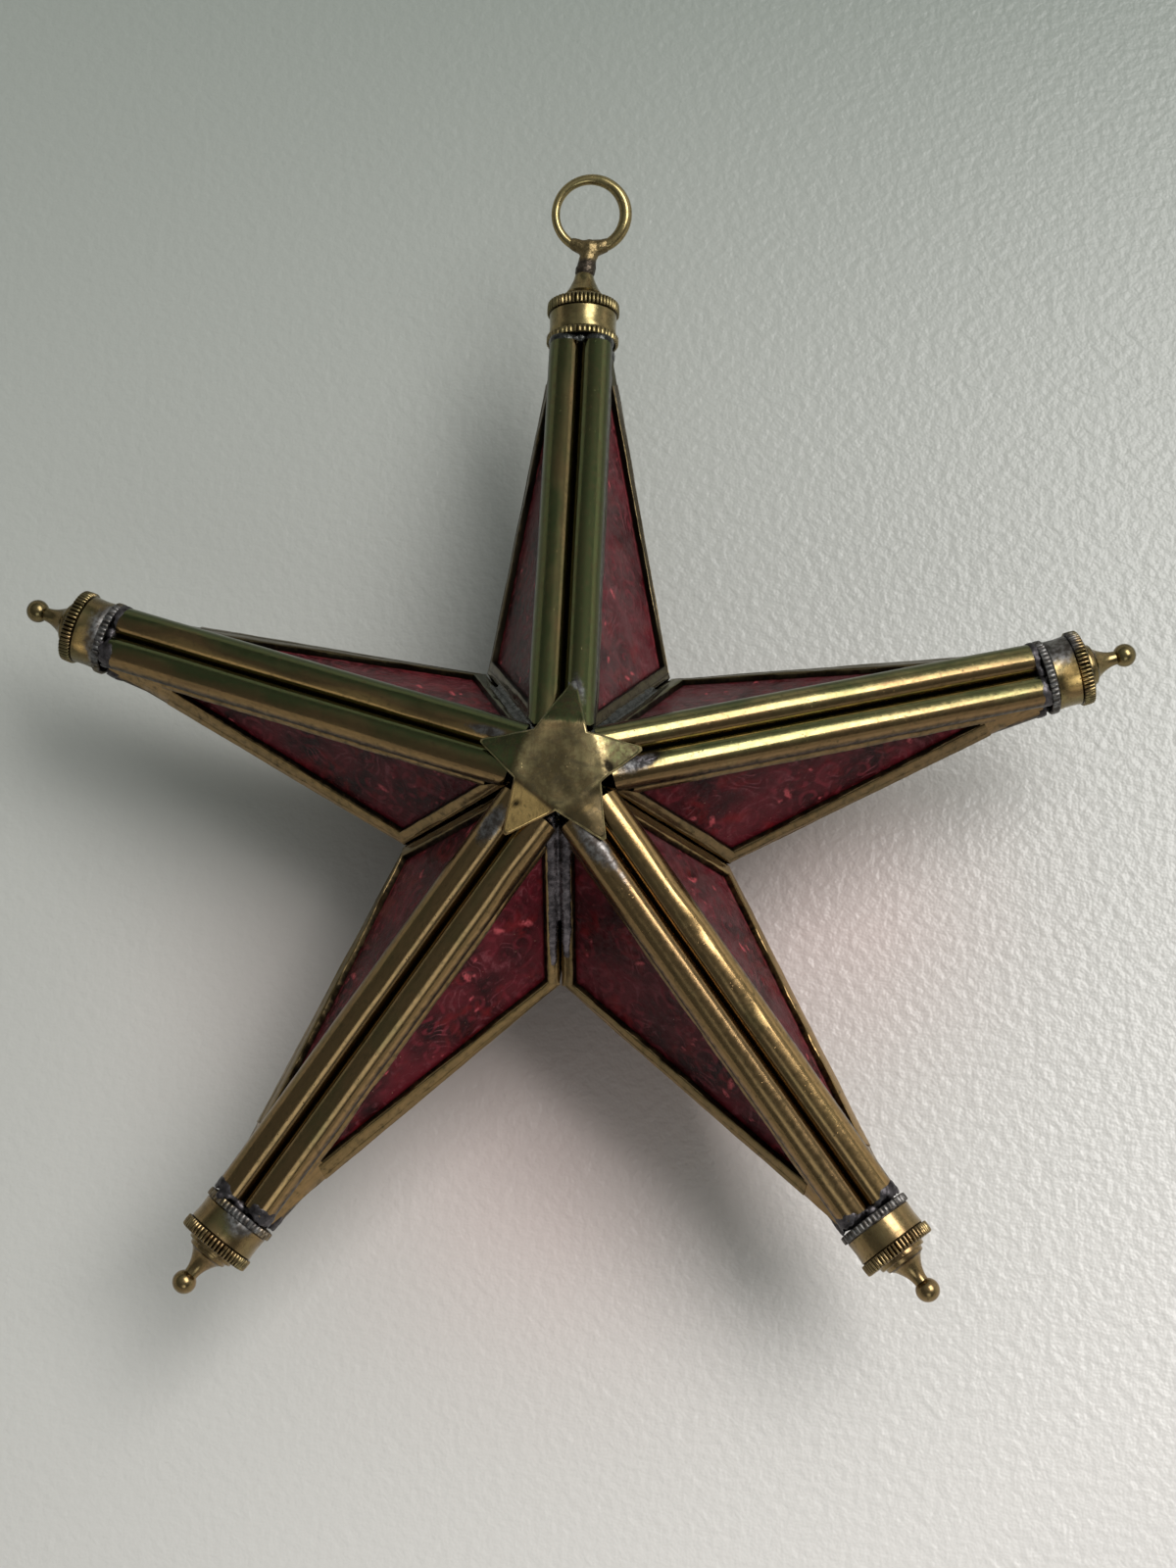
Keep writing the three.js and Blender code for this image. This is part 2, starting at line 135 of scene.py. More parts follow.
# Spots of colour: piece, channel, place in millimetres, the way they run, half length, half width, strength
SPOTS = (
    ("frame", "tin", (-11.6, 6.1, 58.3), (-0.95, 0.28, -0.3), 3.4, 0.8, 1.3),
    ("frame", "tin", (-10.4, -9.0, 58.6), (-0.55, -0.78, -0.3), 3.4, 1.5, 1.3),
    ("frame", "tin", (6.0, -11.4, 58.2), (0.6, -0.74, -0.3), 4.6, 1.7, 1.3),
    ("frame", "tin", (10.6, -16.2, 57.0), (0.6, -0.74, -0.3), 3.0, 0.9, 0.9),
    ("frame", "tin", (12.0, 1.4, 58.4), (0.85, 0.45, -0.3), 3.6, 1.3, 0.9),
    ("frame", "grime", (11.6, 1.0, 58.4), (0.85, 0.45, -0.3), 3.8, 1.7, 0.7),
    ("frame", "grime", (14.2, 2.8, 57.0), (0.9, 0.4, -0.3), 3.6, 1.4, 0.8),
    ("frame", "tin", (2.6, 13.0, 58.0), (0.25, -1.0, 0.2), 3.2, 0.8, 1.2),
    ("frame", "warm", (1.0, 17.0, 57.0), (0.0, 1.0, -0.3), 9.0, 3.0, 0.5),
    ("frame", "aged", (0.5, 30.0, 50.0), (0.0, 1.0, -0.3), 30.0, 1.4, 0.8),
    ("plate", "tin", (1.9, 14.2, 58.0), (0.15, -1.0, 0.2), 2.0, 0.9, 1.3),
    ("plate", "tin", (8.6, -1.4, 60.0), (0.7, 0.7, -0.2), 2.0, 0.35, 1.0),
    ("plate", "green", (-5.6, -5.6, 60.9), (1.0, 0.0, 0.0), 1.6, 2.2, 0.6),
    # Painted shade over the lower half of the right point's bend, where its highlight fades
    ("plate", "grime", (7.4, 0.1, 60.7), (-0.29, 0.96, 0.0), 2.0, 1.0, 1.1),
    ("plate", "aged", (0.3, 6.5, 61.0), (1.0, 0.02, 0.0), 3.4, 0.8, -0.9),
    ("plate", "warm", (0.3, 6.5, 61.0), (1.0, 0.02, 0.0), 3.4, 0.8, 0.5),
    ("plate", "green", (-3.6, -7.2, 60.4), (0.5, 0.8, 0.0), 1.6, 0.9, 0.9),
    ("plate", "aged", (-1.5, -0.5, 61.0), (0.6, 0.8, 0.0), 5.5, 3.6, 0.5),
    ("plate", "aged", (3.0, -3.5, 61.0), (1.0, 0.3, 0.0), 3.5, 2.2, 0.45),
    ("plate", "grime", (-6.3, -6.0, 60.4), (1.0, 0.3, 0.0), 1.0, 0.7, 0.9),
    ("plate", "warm", (4.4, -6.4, 60.4), (0.8, 0.6, 0.0), 2.4, 0.7, 0.6),
    ("cap", "tin", (-48.7, -70.3, 36.4), (0.8, -0.59, 0.0), 3.0, 2.2, 1.2),
    ("cap", "tin", (-80.4, 26.6, 36.3), (0.33, 0.94, 0.0), 6.5, 2.5, 1.1),
    ("cap", "tin", (79.6, 30.2, 34.8), (-0.3, 0.95, 0.0), 4.4, 3.4, 1.5),
    ("cap", "warm", (82.8, 23.7, 35.9), (-0.3, 0.95, 0.0), 3.0, 2.4, 1.9),
    ("cap", "warm", (-83.2, 25.6, 35.6), (0.3, 0.95, 0.0), 3.2, 2.2, 1.7),
    ("cap", "green", (-50.8, -70.5, 35.5), (0.8, -0.59, 0.0), 2.6, 2.0, 0.6),
)
# A spot is gone at this many times its half length and half width, and is full up to one less
SPOT_REACH = 1.4


def point_array(mesh):
    """The mesh's points, one row each."""
    flat = np.empty(len(mesh.vertices) * 3, dtype=np.float32)
    mesh.vertices.foreach_get("co", flat)
    return flat.reshape(-1, 3)


def write_values(mesh, **layers):
    """Writes named layers, each one value per point."""
    for name, values in layers.items():
        attribute = mesh.attributes.new(name, "FLOAT", "POINT")
        attribute.data.foreach_set("value", np.asarray(values, dtype=np.float32))


def add_object(name, data):
    made = bpy.data.objects.new(name, data)
    bpy.context.scene.collection.objects.link(made)
    return made


def finish_mesh(piece, matrix, auto=180):
    """Bakes the matrix into the points, keeps the points before it as `local`, and shades faces smooth.

    Edges that bend by more than `auto` degrees stay sharp.
    """
    mesh = piece.data
    bm = bmesh.new()
    bm.from_mesh(mesh)
    bmesh.ops.recalc_face_normals(bm, faces=bm.faces)
    for f in bm.faces:
        f.smooth = True
    for e in bm.edges:
        if len(e.link_faces) == 2 and e.calc_face_angle(0) > math.radians(auto):
            e.smooth = False
    bm.to_mesh(mesh)
    bm.free()
    local = mesh.attributes.new("local", "FLOAT_VECTOR", "POINT")
    local.data.foreach_set("vector", point_array(mesh).ravel())
    mesh.transform(matrix)
    mesh.update()


def make_object(name, points, faces, material, matrix, auto=35):
    """A mesh object from points in millimetres."""
    mesh = bpy.data.meshes.new(name)
    mesh.from_pydata([tuple(c / METRE for c in p) for p in points], [], faces)
    mesh.materials.append(material)
    piece = add_object(name, mesh)
    finish_mesh(piece, matrix, auto)
    return piece


def unit(v):
    return v / np.linalg.norm(v)


def paint(piece, part=None, **shares):
    """Writes the channels to the points, with the spots of this kind of piece."""
    places = point_array(piece.data) * METRE
    for channel in CHANNELS:
        value = np.zeros(len(places)) + shares.get(channel, 0.0)
        for owner, kind, centre, way, long, wide, strength in SPOTS:
            if kind == channel and owner == part:
                apart = places - np.array(centre)
                along = apart @ unit(np.array(way))
                across = np.sqrt(np.maximum(0.0, (apart ** 2).sum(axis=1) - along ** 2))
                value += strength * np.clip(SPOT_REACH - np.hypot(along / long, across / wide), 0, 1)
        write_values(piece.data, **{channel: value})


def settle(piece, slot, *nodes):
    """The piece rides on the star and stands for these nodes."""
    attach(piece, "root")
    if nodes:
        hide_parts(*nodes)


def loops_to_faces(start, rows, count):
    """Quads between successive loops of the same number of points."""
    faces = []
    for i in range(rows - 1):
        for j in range(count):
            a = start + i * count + j
            b = start + i * count + (j + 1) % count
            faces.append((a, b, b + count, a + count))
    return faces


class Shells:
    """Collects closed shells into one mesh, with what is painted on each point."""

    def __init__(self):
        self.points = []
        self.faces = []
        self.paint = []

    def sweep(self, sections, paints):
        """A closed shell through cross-sections, each a loop of as many points."""
        start = len(self.points)
        count = len(sections[0])
        for section, painted in zip(sections, paints):
            self.points.extend(section)
            self.paint.extend(painted)
        self.faces += loops_to_faces(start, len(sections), count)
        self.faces.append(tuple(range(start, start + count))[::-1])
        last = start + (len(sections) - 1) * count
        self.faces.append(tuple(range(last, last + count)))

    def ring_tube(self, outer, inner, paints):
        """A closed shell between an outer and an inner surface, joined at both ends."""
        start = len(self.points)
        rows, count = len(outer), len(outer[0])
        for surface in (outer, inner):
            for section, painted in zip(surface, paints):
                self.points.extend(section)
                self.paint.extend(painted)
        other = start + rows * count
        self.faces += loops_to_faces(start, rows, count)
        self.faces += [f[::-1] for f in loops_to_faces(other, rows, count)]
        for row in (0, rows - 1):
            for j in range(count):
                a, b = start + row * count + j, start + row * count + (j + 1) % count
                c, d = other + row * count + (j + 1) % count, other + row * count + j
                self.faces.append((a, b, c, d) if row else (d, c, b, a))


# Facets, in the frame of an arm: +Y along it, on the side where X and Z are positive


def ridge_slope(mouth):
    """How steeply a ridge tube comes down from the centre star to the cap."""
    rise = HALF_DEPTH - PLATE_THICKNESS - GAP - (TUBE_RADIUS + GAP / 2)
    run = mouth - PLATE_BEND
    return math.atan2(rise, run) - math.asin(TUBE_RADIUS / math.hypot(rise, run))


def inset(outline, insets):
    """The outline's corners, each side moved inwards by its own amount."""
    lines = []
    for i, point in enumerate(outline):
        along = unit(outline[(i + 1) % len(outline)] - point)
        lines.append((point + insets[i] * np.array((-along[1], along[0])), along))
    corners = []
    for i, (point, along) in enumerate(lines):
        before, way = lines[i - 1]
        apart = point - before
        share = (apart[0] * along[1] - apart[1] * along[0]) / (way[0] * along[1] - way[1] * along[0])
        corners.append(before + share * way)
    return corners


class Facet:
    """One facet of arm k on its first or second side."""

    def __init__(self, k, s):
        name, sides, _, _, land = ARMS[k]
        self.arm = name
        self.side = 1 if s == 0 else -1
        self.mouth = arm_mouth(k)
        self.land = LAND * land
        self.name = f"{name}_{sides[s]}"
        index = (k - 1) % len(ARMS) if s == 0 else k
        turned = (corner_angle(index) - arm_angle(k)) % 360
        opening = math.radians(min(turned, 360 - turned))
        reach = CORNER_REACH * CORNERS[index][2]
        slope = ridge_slope(self.mouth)
        self.along = np.array((0, math.cos(slope), -math.sin(slope)))
        offset = TUBE_RADIUS + GAP / 2
        self.tube_end = np.array((offset, self.mouth, offset))
        self.inner = np.array((reach * math.sin(opening), reach * math.cos(opening), 0.0))
        edge_end = np.array((MOUTH_HALF_WIDTH, self.mouth, 0.0))
        along_edge = unit(edge_end - self.inner)
        self.outward = unit(np.cross(self.along, along_edge))
        self.to_ridge = np.cross(self.outward, self.along)
        self.valley = unit(np.array((-self.inner[1], self.inner[0], 0.0)))
        apex = np.array((0, 0, self.outward @ self.inner / self.outward[2]))
        ridge = self.ridge = self.flat(self.tube_end)[1]
        edge_way, valley_way = self.flat(self.inner + along_edge), self.flat(apex)
        self.tube_rise = (self.tube_end - self.inner) @ self.outward
        self.outline = [
            np.zeros(2),
            edge_way * ridge / edge_way[1],
            valley_way * ridge / valley_way[1],
        ]

    def flat(self, point):
        """The point in the facet's plane: along the ridge, and towards it."""
        local = point - self.inner
        return np.array((local @ self.along, local @ self.to_ridge))

    def place(self, x, y, z):
        """A point of the facet's plane, z above its outer surface, in the arm's frame."""
        return self.inner + x * self.along + y * self.to_ridge + z * self.outward

    def across(self, distance, at):
        """Where the line through `at` along the ridge is that far along the arm."""
        return (distance - at[1]) / self.along[1]

    def window(self, grown=0.0):
        """The window's corners: at the inner corner, at the sharp tip, and near the apex."""
        widths = (EDGE_STRIPS[self.name], TUBE_RADIUS + LIP, VALLEY_STRIP)
        corner, _, apex = inset(self.outline, [w - grown for w in widths])
        # The sharp tip moves further than the sides
        limit = self.mouth - self.land + grown * 4
        tip = np.array((apex[0] + 1.0, apex[1]))
        start, step = self.place(*apex, 0)[1], self.place(*tip, 0)[1] - self.place(*apex, 0)[1]
        tip[0] = apex[0] + (limit - start) / step
        return corner, tip, apex


def mirrored(points, side, face):
    """The points on the other side of the arm, or of the star, where these are -1."""
    return [(p[0] * side, p[1], p[2] * face) for p in points]


# Sections of sheet strips: share of the width, height, grime
FOLDED = (
    (0.0, -0.55, 0.3), (0.0, -0.18, 0.2), (0.03, -0.04, 0.0), (0.20, 0.03, 0.0), (0.28, 0.06, 0.0),
    (0.33, 0.01, 0.3), (0.40, 0.02, 0.1), (0.70, 0.02, 0.0), (0.92, 0.0, 0.05), (0.97, -0.08, 0.3),
    (1.0, -0.24, 0.5), (1.0, -1.25, 0.7), (0.90, -1.25, 0.7), (0.84, -0.55, 0.7),
)
LIPPED = (
    (0.0, -0.55, 0.8), (0.0, 0.0, 0.9), (0.16, 0.0, 0.9), (0.19, 0.30, 0.2), (0.24, 0.38, 0.0),
    (0.31, 0.25, 0.0), (0.38, 0.03, 0.6), (0.52, 0.03, 0.1), (0.66, 0.06, 0.0), (0.80, 0.02, 0.15),
    (0.97, -0.08, 0.3), (1.0, -0.24, 0.5), (1.0, -1.25, 0.7), (0.78, -0.55, 0.7),
)
FLAT = (
    (0.0, -0.55, 0.3), (0.0, -0.18, 0.2), (0.03, -0.04, 0.0), (0.30, 0.03, 0.0), (0.72, 0.01, 0.0),
    (0.92, -0.03, 0.05), (0.97, -0.08, 0.3), (1.0, -0.24, 0.5), (1.0, -1.25, 0.7), (0.84, -0.55, 0.7),
)
PLAIN = (
    (0.0, -0.55, 0.3), (0.0, -0.12, 0.2), (0.03, -0.02, 0.05), (0.35, 0.0, 0.0), (0.65, 0.0, 0.0),
    (0.97, -0.02, 0.05), (1.0, -0.12, 0.2), (1.0, -0.55, 0.3),
)


# About how far apart the sections of a strip are
STRIP_STEP = 1.1
# Dull shares of the strips: folded ones, those of the dark facets, the flat one, along the tube, before the cap
STRIP_AGED, DARK_AGED, FLAT_AGED, LIP_AGED, LAND_AGED = 0.65, 1.1, 0.05, 0.45, 0.3


def strip(shells, facet, outer, inner, rise, seed, profile, aged):
    """A folded sheet strip: outer and inner are its two long edges, each from start to end."""
    length = max(np.linalg.norm(outer[1] - outer[0]), np.linalg.norm(inner[1] - inner[0]))
    steps = max(4, int(length / STRIP_STEP))
    dirty = STRIP_GRIME[facet.arm]
    sections, paints = [], []
    for i in range(steps + 1):
        t = i / steps
        a = outer[0] + (outer[1] - outer[0]) * t
        b = inner[0] + (inner[1] - inner[0]) * t
        along = t * length
        shift = 0.12 * wobble(along * 0.13, seed * 7.3, 1.7) / max(1.0, np.linalg.norm(b - a))
        section, painted = [], []
        for share, z, dirt in profile:
            lift = 0.10 * wobble(along * 0.11, share * 1.5 + seed * 3.1, 4.2)
            lift += 0.05 * wobble(along * 0.5, share * 3 + seed * 3.1, 9.2)
            bend = 0.08 * wobble(along * 0.18, seed * 5.1 + share * 0.3, 6.0) if share < 1 else 0
            flat = a + (b - a) * (share + (shift + bend if share > 0.1 else 0))
            section.append(facet.place(flat[0], flat[1], z + rise + lift))
            painted.append((dirt + dirty, aged + 0.25 * wobble(along * 0.2, share * 2, seed), 0.0))
        sections.append(section)
        paints.append(painted)
    shells.sweep(sections, paints)


TUBE_TURNS, TUBE_STEPS = 32, 84
TUBE_OUTER = 2.68
TUBE_INNER = TUBE_OUTER - TUBE_WALL
# How much later than in the solids the tubes begin, which leaves dark gaps, and by facet where it is less
TUBE_GAP = 0.8
TUBE_GAPS = {"top_right": 0.0, "top_left": 0.0, "left_upper": 0.0, "left_lower": 0.3, "lower_left_left": 0.4,
             "right_upper": 0.0}
# How far the tubes stand out at the upper side of the gap, as a share of their radius; the right arm's are rounder
TUBE_SQUARE, ROUND_SQUARE = 0.16, 0.05
# Facets with dark strips, and the one whose strip along the rim has no fold
DARK_STRIPS = ("top_right", "top_left", "left_upper", "right_upper")
FLAT_STRIP = "lower_right_right"

# Dents of the ridge tubes: facet, share of the length, angle in degrees, reach in mm, depth in mm
DENTS = (
    ("lower_right_right", 0.34, 40, 4.0, 0.14), ("lower_right_right", 0.22, 80, 6.0, 0.16),
    ("lower_right_right", 0.52, 30, 5.0, 0.15), ("left_upper", 0.27, 30, 4.0, 0.20),
    ("lower_left_left", 0.46, 60, 5.0, 0.15), ("lower_left_right", 0.12, 90, 6.0, 0.2),
)


def tube(shells, facet, seed, front):
    """The ridge tube, cut at its inner end where it meets its neighbours."""
    square = ROUND_SQUARE if facet.arm == "right" else TUBE_SQUARE
    cuts = ((facet.valley, GAP / 2), (np.array((1.0, 0, 0)), 0.02))
    lines = []
    for j in range(TUBE_TURNS):
        angle = 2 * math.pi * j / TUBE_TURNS
        cx, cz = math.cos(angle), math.sin(angle)
        normal = cx * facet.to_ridge + cz * facet.outward
        towards = -normal[0]
        stretch = 1 + square * max(0.0, towards) * max(0.0, normal[2])
        for radius in (TUBE_OUTER, TUBE_INNER):
            at = facet.place(0, facet.ridge + radius * cx, facet.tube_rise + radius * cz)
            start = facet.across(TUBE_START + TUBE_GAPS.get(facet.name, TUBE_GAP), at)
            for cut, distance in cuts:
                slope = cut @ facet.along
                if slope > 1e-6:
                    start = max(start, (distance - cut @ at) / slope)
            end = facet.across(facet.mouth - TUBE_SETBACK, at)
            lines.append((angle, radius, start, end, stretch, towards))
    outer, inner, paints = [], [], []
    dents = [d for d in DENTS if d[0] == facet.name and front]
    for i in range(TUBE_STEPS + 1):
        t = i / TUBE_STEPS
        rows = {TUBE_OUTER: [], TUBE_INNER: []}
        painted = []
        for angle, radius, start, end, stretch, towards in lines:
            x = start + (end - start) * t
            cx, cz = math.cos(angle), math.sin(angle)
            real = radius * stretch + 0.06 * wobble(x * 0.05, cx + seed * 5.7, cz)
            real += 0.008 * wobble(x * 0.25, cx * 2 + seed, cz * 2)
            for _, share, turn, reach, depth in dents:
                d = math.hypot((t - share) * (end - start) / reach, (angle - math.radians(turn)) * 1.3)
                real -= depth * math.exp(-d * d * 2)
            rows[radius].append(facet.place(x, facet.ridge + real * cx, facet.tube_rise + real * cz))
            if radius == TUBE_OUTER:
                # Grime lies along the foot of the tube and in the gap
                low = max(0.0, -math.sin(angle + 0.5), min(0.9, (abs(towards) - 0.8) * 5))
                side = 0.5 + 0.75 * towards + 0.35 * wobble(x * 0.07, cx * 0.8, cz + seed)
                painted.append((0.8 * low, 0.2 * wobble(x * 0.05, cx, cz + seed), side))
        outer.append(rows[TUBE_OUTER])
        inner.append(rows[TUBE_INNER])
        paints.append(painted)
    shells.ring_tube(outer, inner, paints)


def frame_shells(facet, seed, front):
    """Tube and strips of one facet."""
    shells = Shells()
    tube(shells, facet, seed, front)
    corner, tip, apex = facet.window()
    o0, o1, o2 = facet.outline
    edge_way, valley_way = unit(o1 - o0), unit(o2 - o0)
    steep = facet.outward[2] / math.hypot(facet.outward[0], facet.outward[1])
    rim = GAP / 2 * math.hypot(1, steep)
    start = facet.place(*o0, 0)
    step = facet.place(*(o0 + edge_way), 0)[1] - start[1]
    edge_end = o0 + edge_way * (facet.mouth - TUBE_SETBACK - start[1]) / step
    edge_tip = o0 + edge_way * (facet.place(*tip, 0)[1] + 1.0 - start[1]) / step
    inward = np.array((-edge_way[1], edge_way[0])) * rim
    # The strips run a little way under the tube, and their ends overlap their neighbours
    tube_side = facet.ridge - TUBE_RADIUS + 0.5
    dark, folded = facet.name in DARK_STRIPS, facet.name != FLAT_STRIP
    # Along the rim, where front and back facets meet
    strip(shells, facet, (o0 + inward, edge_tip + inward), (corner, tip), 0.0, seed, FOLDED if folded else FLAT,
          DARK_AGED if dark else STRIP_AGED if folded else FLAT_AGED)
    # Along the valley, against the neighbouring facet's
    side = np.array((valley_way[1], -valley_way[0]))
    side = side if side @ (apex - o0) > 0 else -side
    valley_end = o0 + valley_way * ((facet.ridge - 1.2) / valley_way[1])
    strip(shells, facet, (valley_end + side * 0.2, o0 + side * 0.2), (apex, corner), 0.07, seed + 1, FOLDED,
          STRIP_AGED)
    # Along the ridge tube
    strip(shells, facet, (np.array((tip[0] + 2.0, tube_side)), np.array((apex[0] - 1.0, tube_side))),
          (tip + np.array((2.0, 0)), apex - np.array((1.0, 0))), 0.03, seed + 2, LIPPED,
          DARK_AGED if dark else LIP_AGED)
    # Bare brass between the glass and the cap
    land_end = np.array((facet.flat(facet.tube_end)[0] - TUBE_SETBACK, tube_side))
    strip(shells, facet, (edge_tip + inward - edge_way * 1.6, edge_end + inward),
          (np.array((tip[0] - 1.4, tube_side)), land_end), -0.14, seed + 3, PLAIN, LAND_AGED)
    return shells


# Materials


class Net:
    """Short names for building the nodes of a material or of the world."""

    def __init__(self, owner):
        owner.use_nodes = True
        self.tree = owner.node_tree

    def put(self, value, socket):
        if isinstance(value, bpy.types.NodeSocket):
            self.tree.links.new(value, socket)
        else:
            socket.default_value = value

    def make(self, kind, **inputs):
        """A new node of this kind, with these inputs linked or set."""
        node = self.tree.nodes.new(kind)
        for key, value in inputs.items():
            self.put(value, node.inputs[key.replace("_", " ")])
        return node

    def span(self, value, low, high, to_low=0.0, to_high=1.0):
        node = self.make("ShaderNodeMapRange", Value=value, From_Min=low, From_Max=high, To_Min=to_low,
                         To_Max=to_high)
        return node.outputs["Result"]

    def math(self, kind, a, b=0.0, clamp=False):
        node = self.make("ShaderNodeMath")
        node.operation = kind
        node.use_clamp = clamp
        self.put(a, node.inputs[0])
        self.put(b, node.inputs[1])
        return node.outputs[0]

    def times(self, a, b, clamp=False):
        return self.math("MULTIPLY", a, b, clamp)

    def plus(self, total, *terms):
        for term in terms:
            total = self.math("ADD", total, term)
        return total


class Finish(Net):
    """A new material, with the textures that it is made of."""

    def __init__(self, name):
        self.material = bpy.data.materials.new(name)
        super().__init__(self.material)
        self.tree.nodes.clear()
        out = self.make("ShaderNodeOutputMaterial")
        self.shader = self.make("ShaderNodeBsdfPrincipled")
        self.tree.links.new(self.shader.outputs[0], out.inputs[0])
        self.local = self.attribute("local", "Vector")

    def attribute(self, name, output="Fac"):
        node = self.make("ShaderNodeAttribute")
        node.attribute_type = "GEOMETRY"
        node.attribute_name = name
        return node.outputs[output]

    def set(self, **values):
        for key, value in values.items():
            self.put(value, self.shader.inputs[key.replace("_", " ")])

    def scaled(self, x, y, z):
        """Local coordinates in millimetres, stretched."""
        return self.make("ShaderNodeMapping", Scale=(x * METRE, y * METRE, z * METRE), Vector=self.local).outputs[0]

    def noise(self, vector, scale, detail, rough=0.55, distortion=0.0):
        node = self.make("ShaderNodeTexNoise", Vector=vector, Scale=scale, Detail=detail, Roughness=rough,
                         Distortion=distortion)
        return node.outputs["Fac"]

    def cells(self, vector, scale):
        return self.make("ShaderNodeTexVoronoi", Vector=vector, Scale=scale).outputs["Distance"]

    def mix(self, factor, a, b):
        node = self.make("ShaderNodeMix", Factor=factor)
        node.data_type = "RGBA"
        for socket, value in ((node.inputs[6], a), (node.inputs[7], b)):
            self.put(value if isinstance(value, bpy.types.NodeSocket) else (*value, 1.0), socket)
        return node.outputs[2]

    def over(self, colour, *coats):
        """Lays coats over a colour; each is how much of it shows, and its own colour."""
        for share, coat in coats:
            colour = self.mix(share, colour, coat)
        return colour

    def cover(self, channel, texture, spread, soft):
        """How much of a painted channel shows, its border broken up by a texture."""
        pushed = self.times(self.math("SUBTRACT", texture, 0.5), spread)
        return self.span(self.plus(self.attribute(channel), pushed), 0.5 - soft, 0.5 + soft)

    def bump(self, height, strength, distance):
        return self.make("ShaderNodeBump", Strength=strength, Distance=distance, Height=height).outputs[0]


GOLD = (0.35, 0.285, 0.130)
GOLD_TURNED = (0.37, 0.288, 0.135)
GOLD_SHEET = (0.36, 0.290, 0.145)
COPPER = (0.235, 0.150, 0.072)
OLIVE = (0.100, 0.118, 0.050)
BROWN = (0.115, 0.085, 0.042)
UMBER = (0.085, 0.068, 0.042)
GRIME_AND_SHADE = (0.014, 0.011, 0.007)
TIN, TIN_DARK = (0.215, 0.212, 0.218), (0.060, 0.056, 0.058)
ORANGE = (0.98, 0.64, 0.25)
SOLDER_STAIN = (0.17, 0.125, 0.06)
SOLDER_GRIME = (0.018, 0.017, 0.018)
RUBY_DARK, RUBY_CLEAR = (0.016, 0.0012, 0.0022), (0.088, 0.0065, 0.0120)
RUBY_SWIRL_HIGHLIGHT = (0.215, 0.055, 0.068)
RUBY_ROSETTE = (0.165, 0.016, 0.026)
RUBY_THREAD = (0.24, 0.05, 0.055)
RUBY_EMBER = (0.150, 0.006, 0.008)
RUBY_SHEEN = (0.085, 0.040, 0.042)
RUBY_GLINT = (0.50, 0.085, 0.10)
RUBY_SHADE = (0.024, 0.0008, 0.0012)
DUST = (0.60, 0.36, 0.24)


def brass_material(name, gold, rough, pit, mottle=0.0):
    """Aged brass: golden, with coppery, green and brown tarnish, pits, scratches and solder film."""
    net = Finish(name)
    plain = net.scaled(1, 1, 1)
    cloud = net.noise(plain, 0.13, 4, 0.6)
    patch = net.noise(net.scaled(1, 0.35, 1), 0.45, 4, 0.62)
    streak = net.noise(net.scaled(3.0, 0.10, 3.0), 0.9, 4, 0.6)
    spots = net.noise(plain, 0.9, 5, 0.65)
    grain = net.noise(plain, 5.0, 3, 0.7)
    scratch = net.noise(net.scaled(9.0, 0.22, 9.0), 1.0, 3, 0.6)
    few = net.span(net.noise(plain, 0.35, 2), 0.50, 0.60)
    pitted = net.times(net.span(net.cells(plain, 1.3), 0.15, 0.07), few, True)
    film = net.cover("tin", net.noise(plain, 0.8, 5, 0.65), 1.1, 0.28)
    colour = net.over(
        gold,
        (net.cover("warm", cloud, 1.6, 0.35), COPPER),
        (net.cover("green", patch, 1.1, 0.4), OLIVE),
        (net.cover("aged", spots, 1.2 + mottle, 0.4), BROWN),
    )
    if mottle:
        smudge = net.noise(net.scaled(1, 1.4, 1), 0.42, 6, 0.68, 0.6)
        colour = net.mix(net.span(smudge, 0.46, 0.64, 0.0, 0.62), colour, UMBER)
    colour = net.over(
        colour,
        # Coppery shares above 1.3 lay on bright orange: real orange tarnish on the caps and the lower left point,
        # and a painted highlight on the left arm's tubes
        (net.span(net.attribute("warm"), 1.3, 2.2, 0.0, 0.85), ORANGE),
        (net.span(streak, 0.52, 0.74, 0.0, 0.6), BROWN),
        (net.span(spots, 0.58, 0.70, 0.0, 0.7), BROWN),
        (net.times(pitted, pit), GRIME_AND_SHADE),
        # Grime, and on the centre star one spot of painted shade
        (net.cover("grime", spots, 0.8, 0.3), GRIME_AND_SHADE),
        (net.times(film, 0.88), net.mix(net.span(spots, 0.40, 0.58), TIN, TIN_DARK)),
    )
    roughness = net.plus(
        net.span(spots, 0.3, 0.75, rough - 0.08, rough + 0.12),
        net.span(grain, 0.35, 0.65, -0.01, 0.02),
        net.times(film, 0.2),
        net.span(net.attribute("grime"), 0.3, 0.9, 0.0, 0.3),
    )
    height = net.plus(net.times(grain, 0.012), net.times(scratch, 0.06))
    height = net.math("SUBTRACT", height, net.times(pitted, 1.6))
    height = net.plus(height, net.times(patch, 0.6), net.times(film, net.plus(spots, 0.6)))
    net.set(Base_Color=colour, Metallic=1.0, Roughness=roughness, Normal=net.bump(height, 0.35, 0.00006))
    return net.material


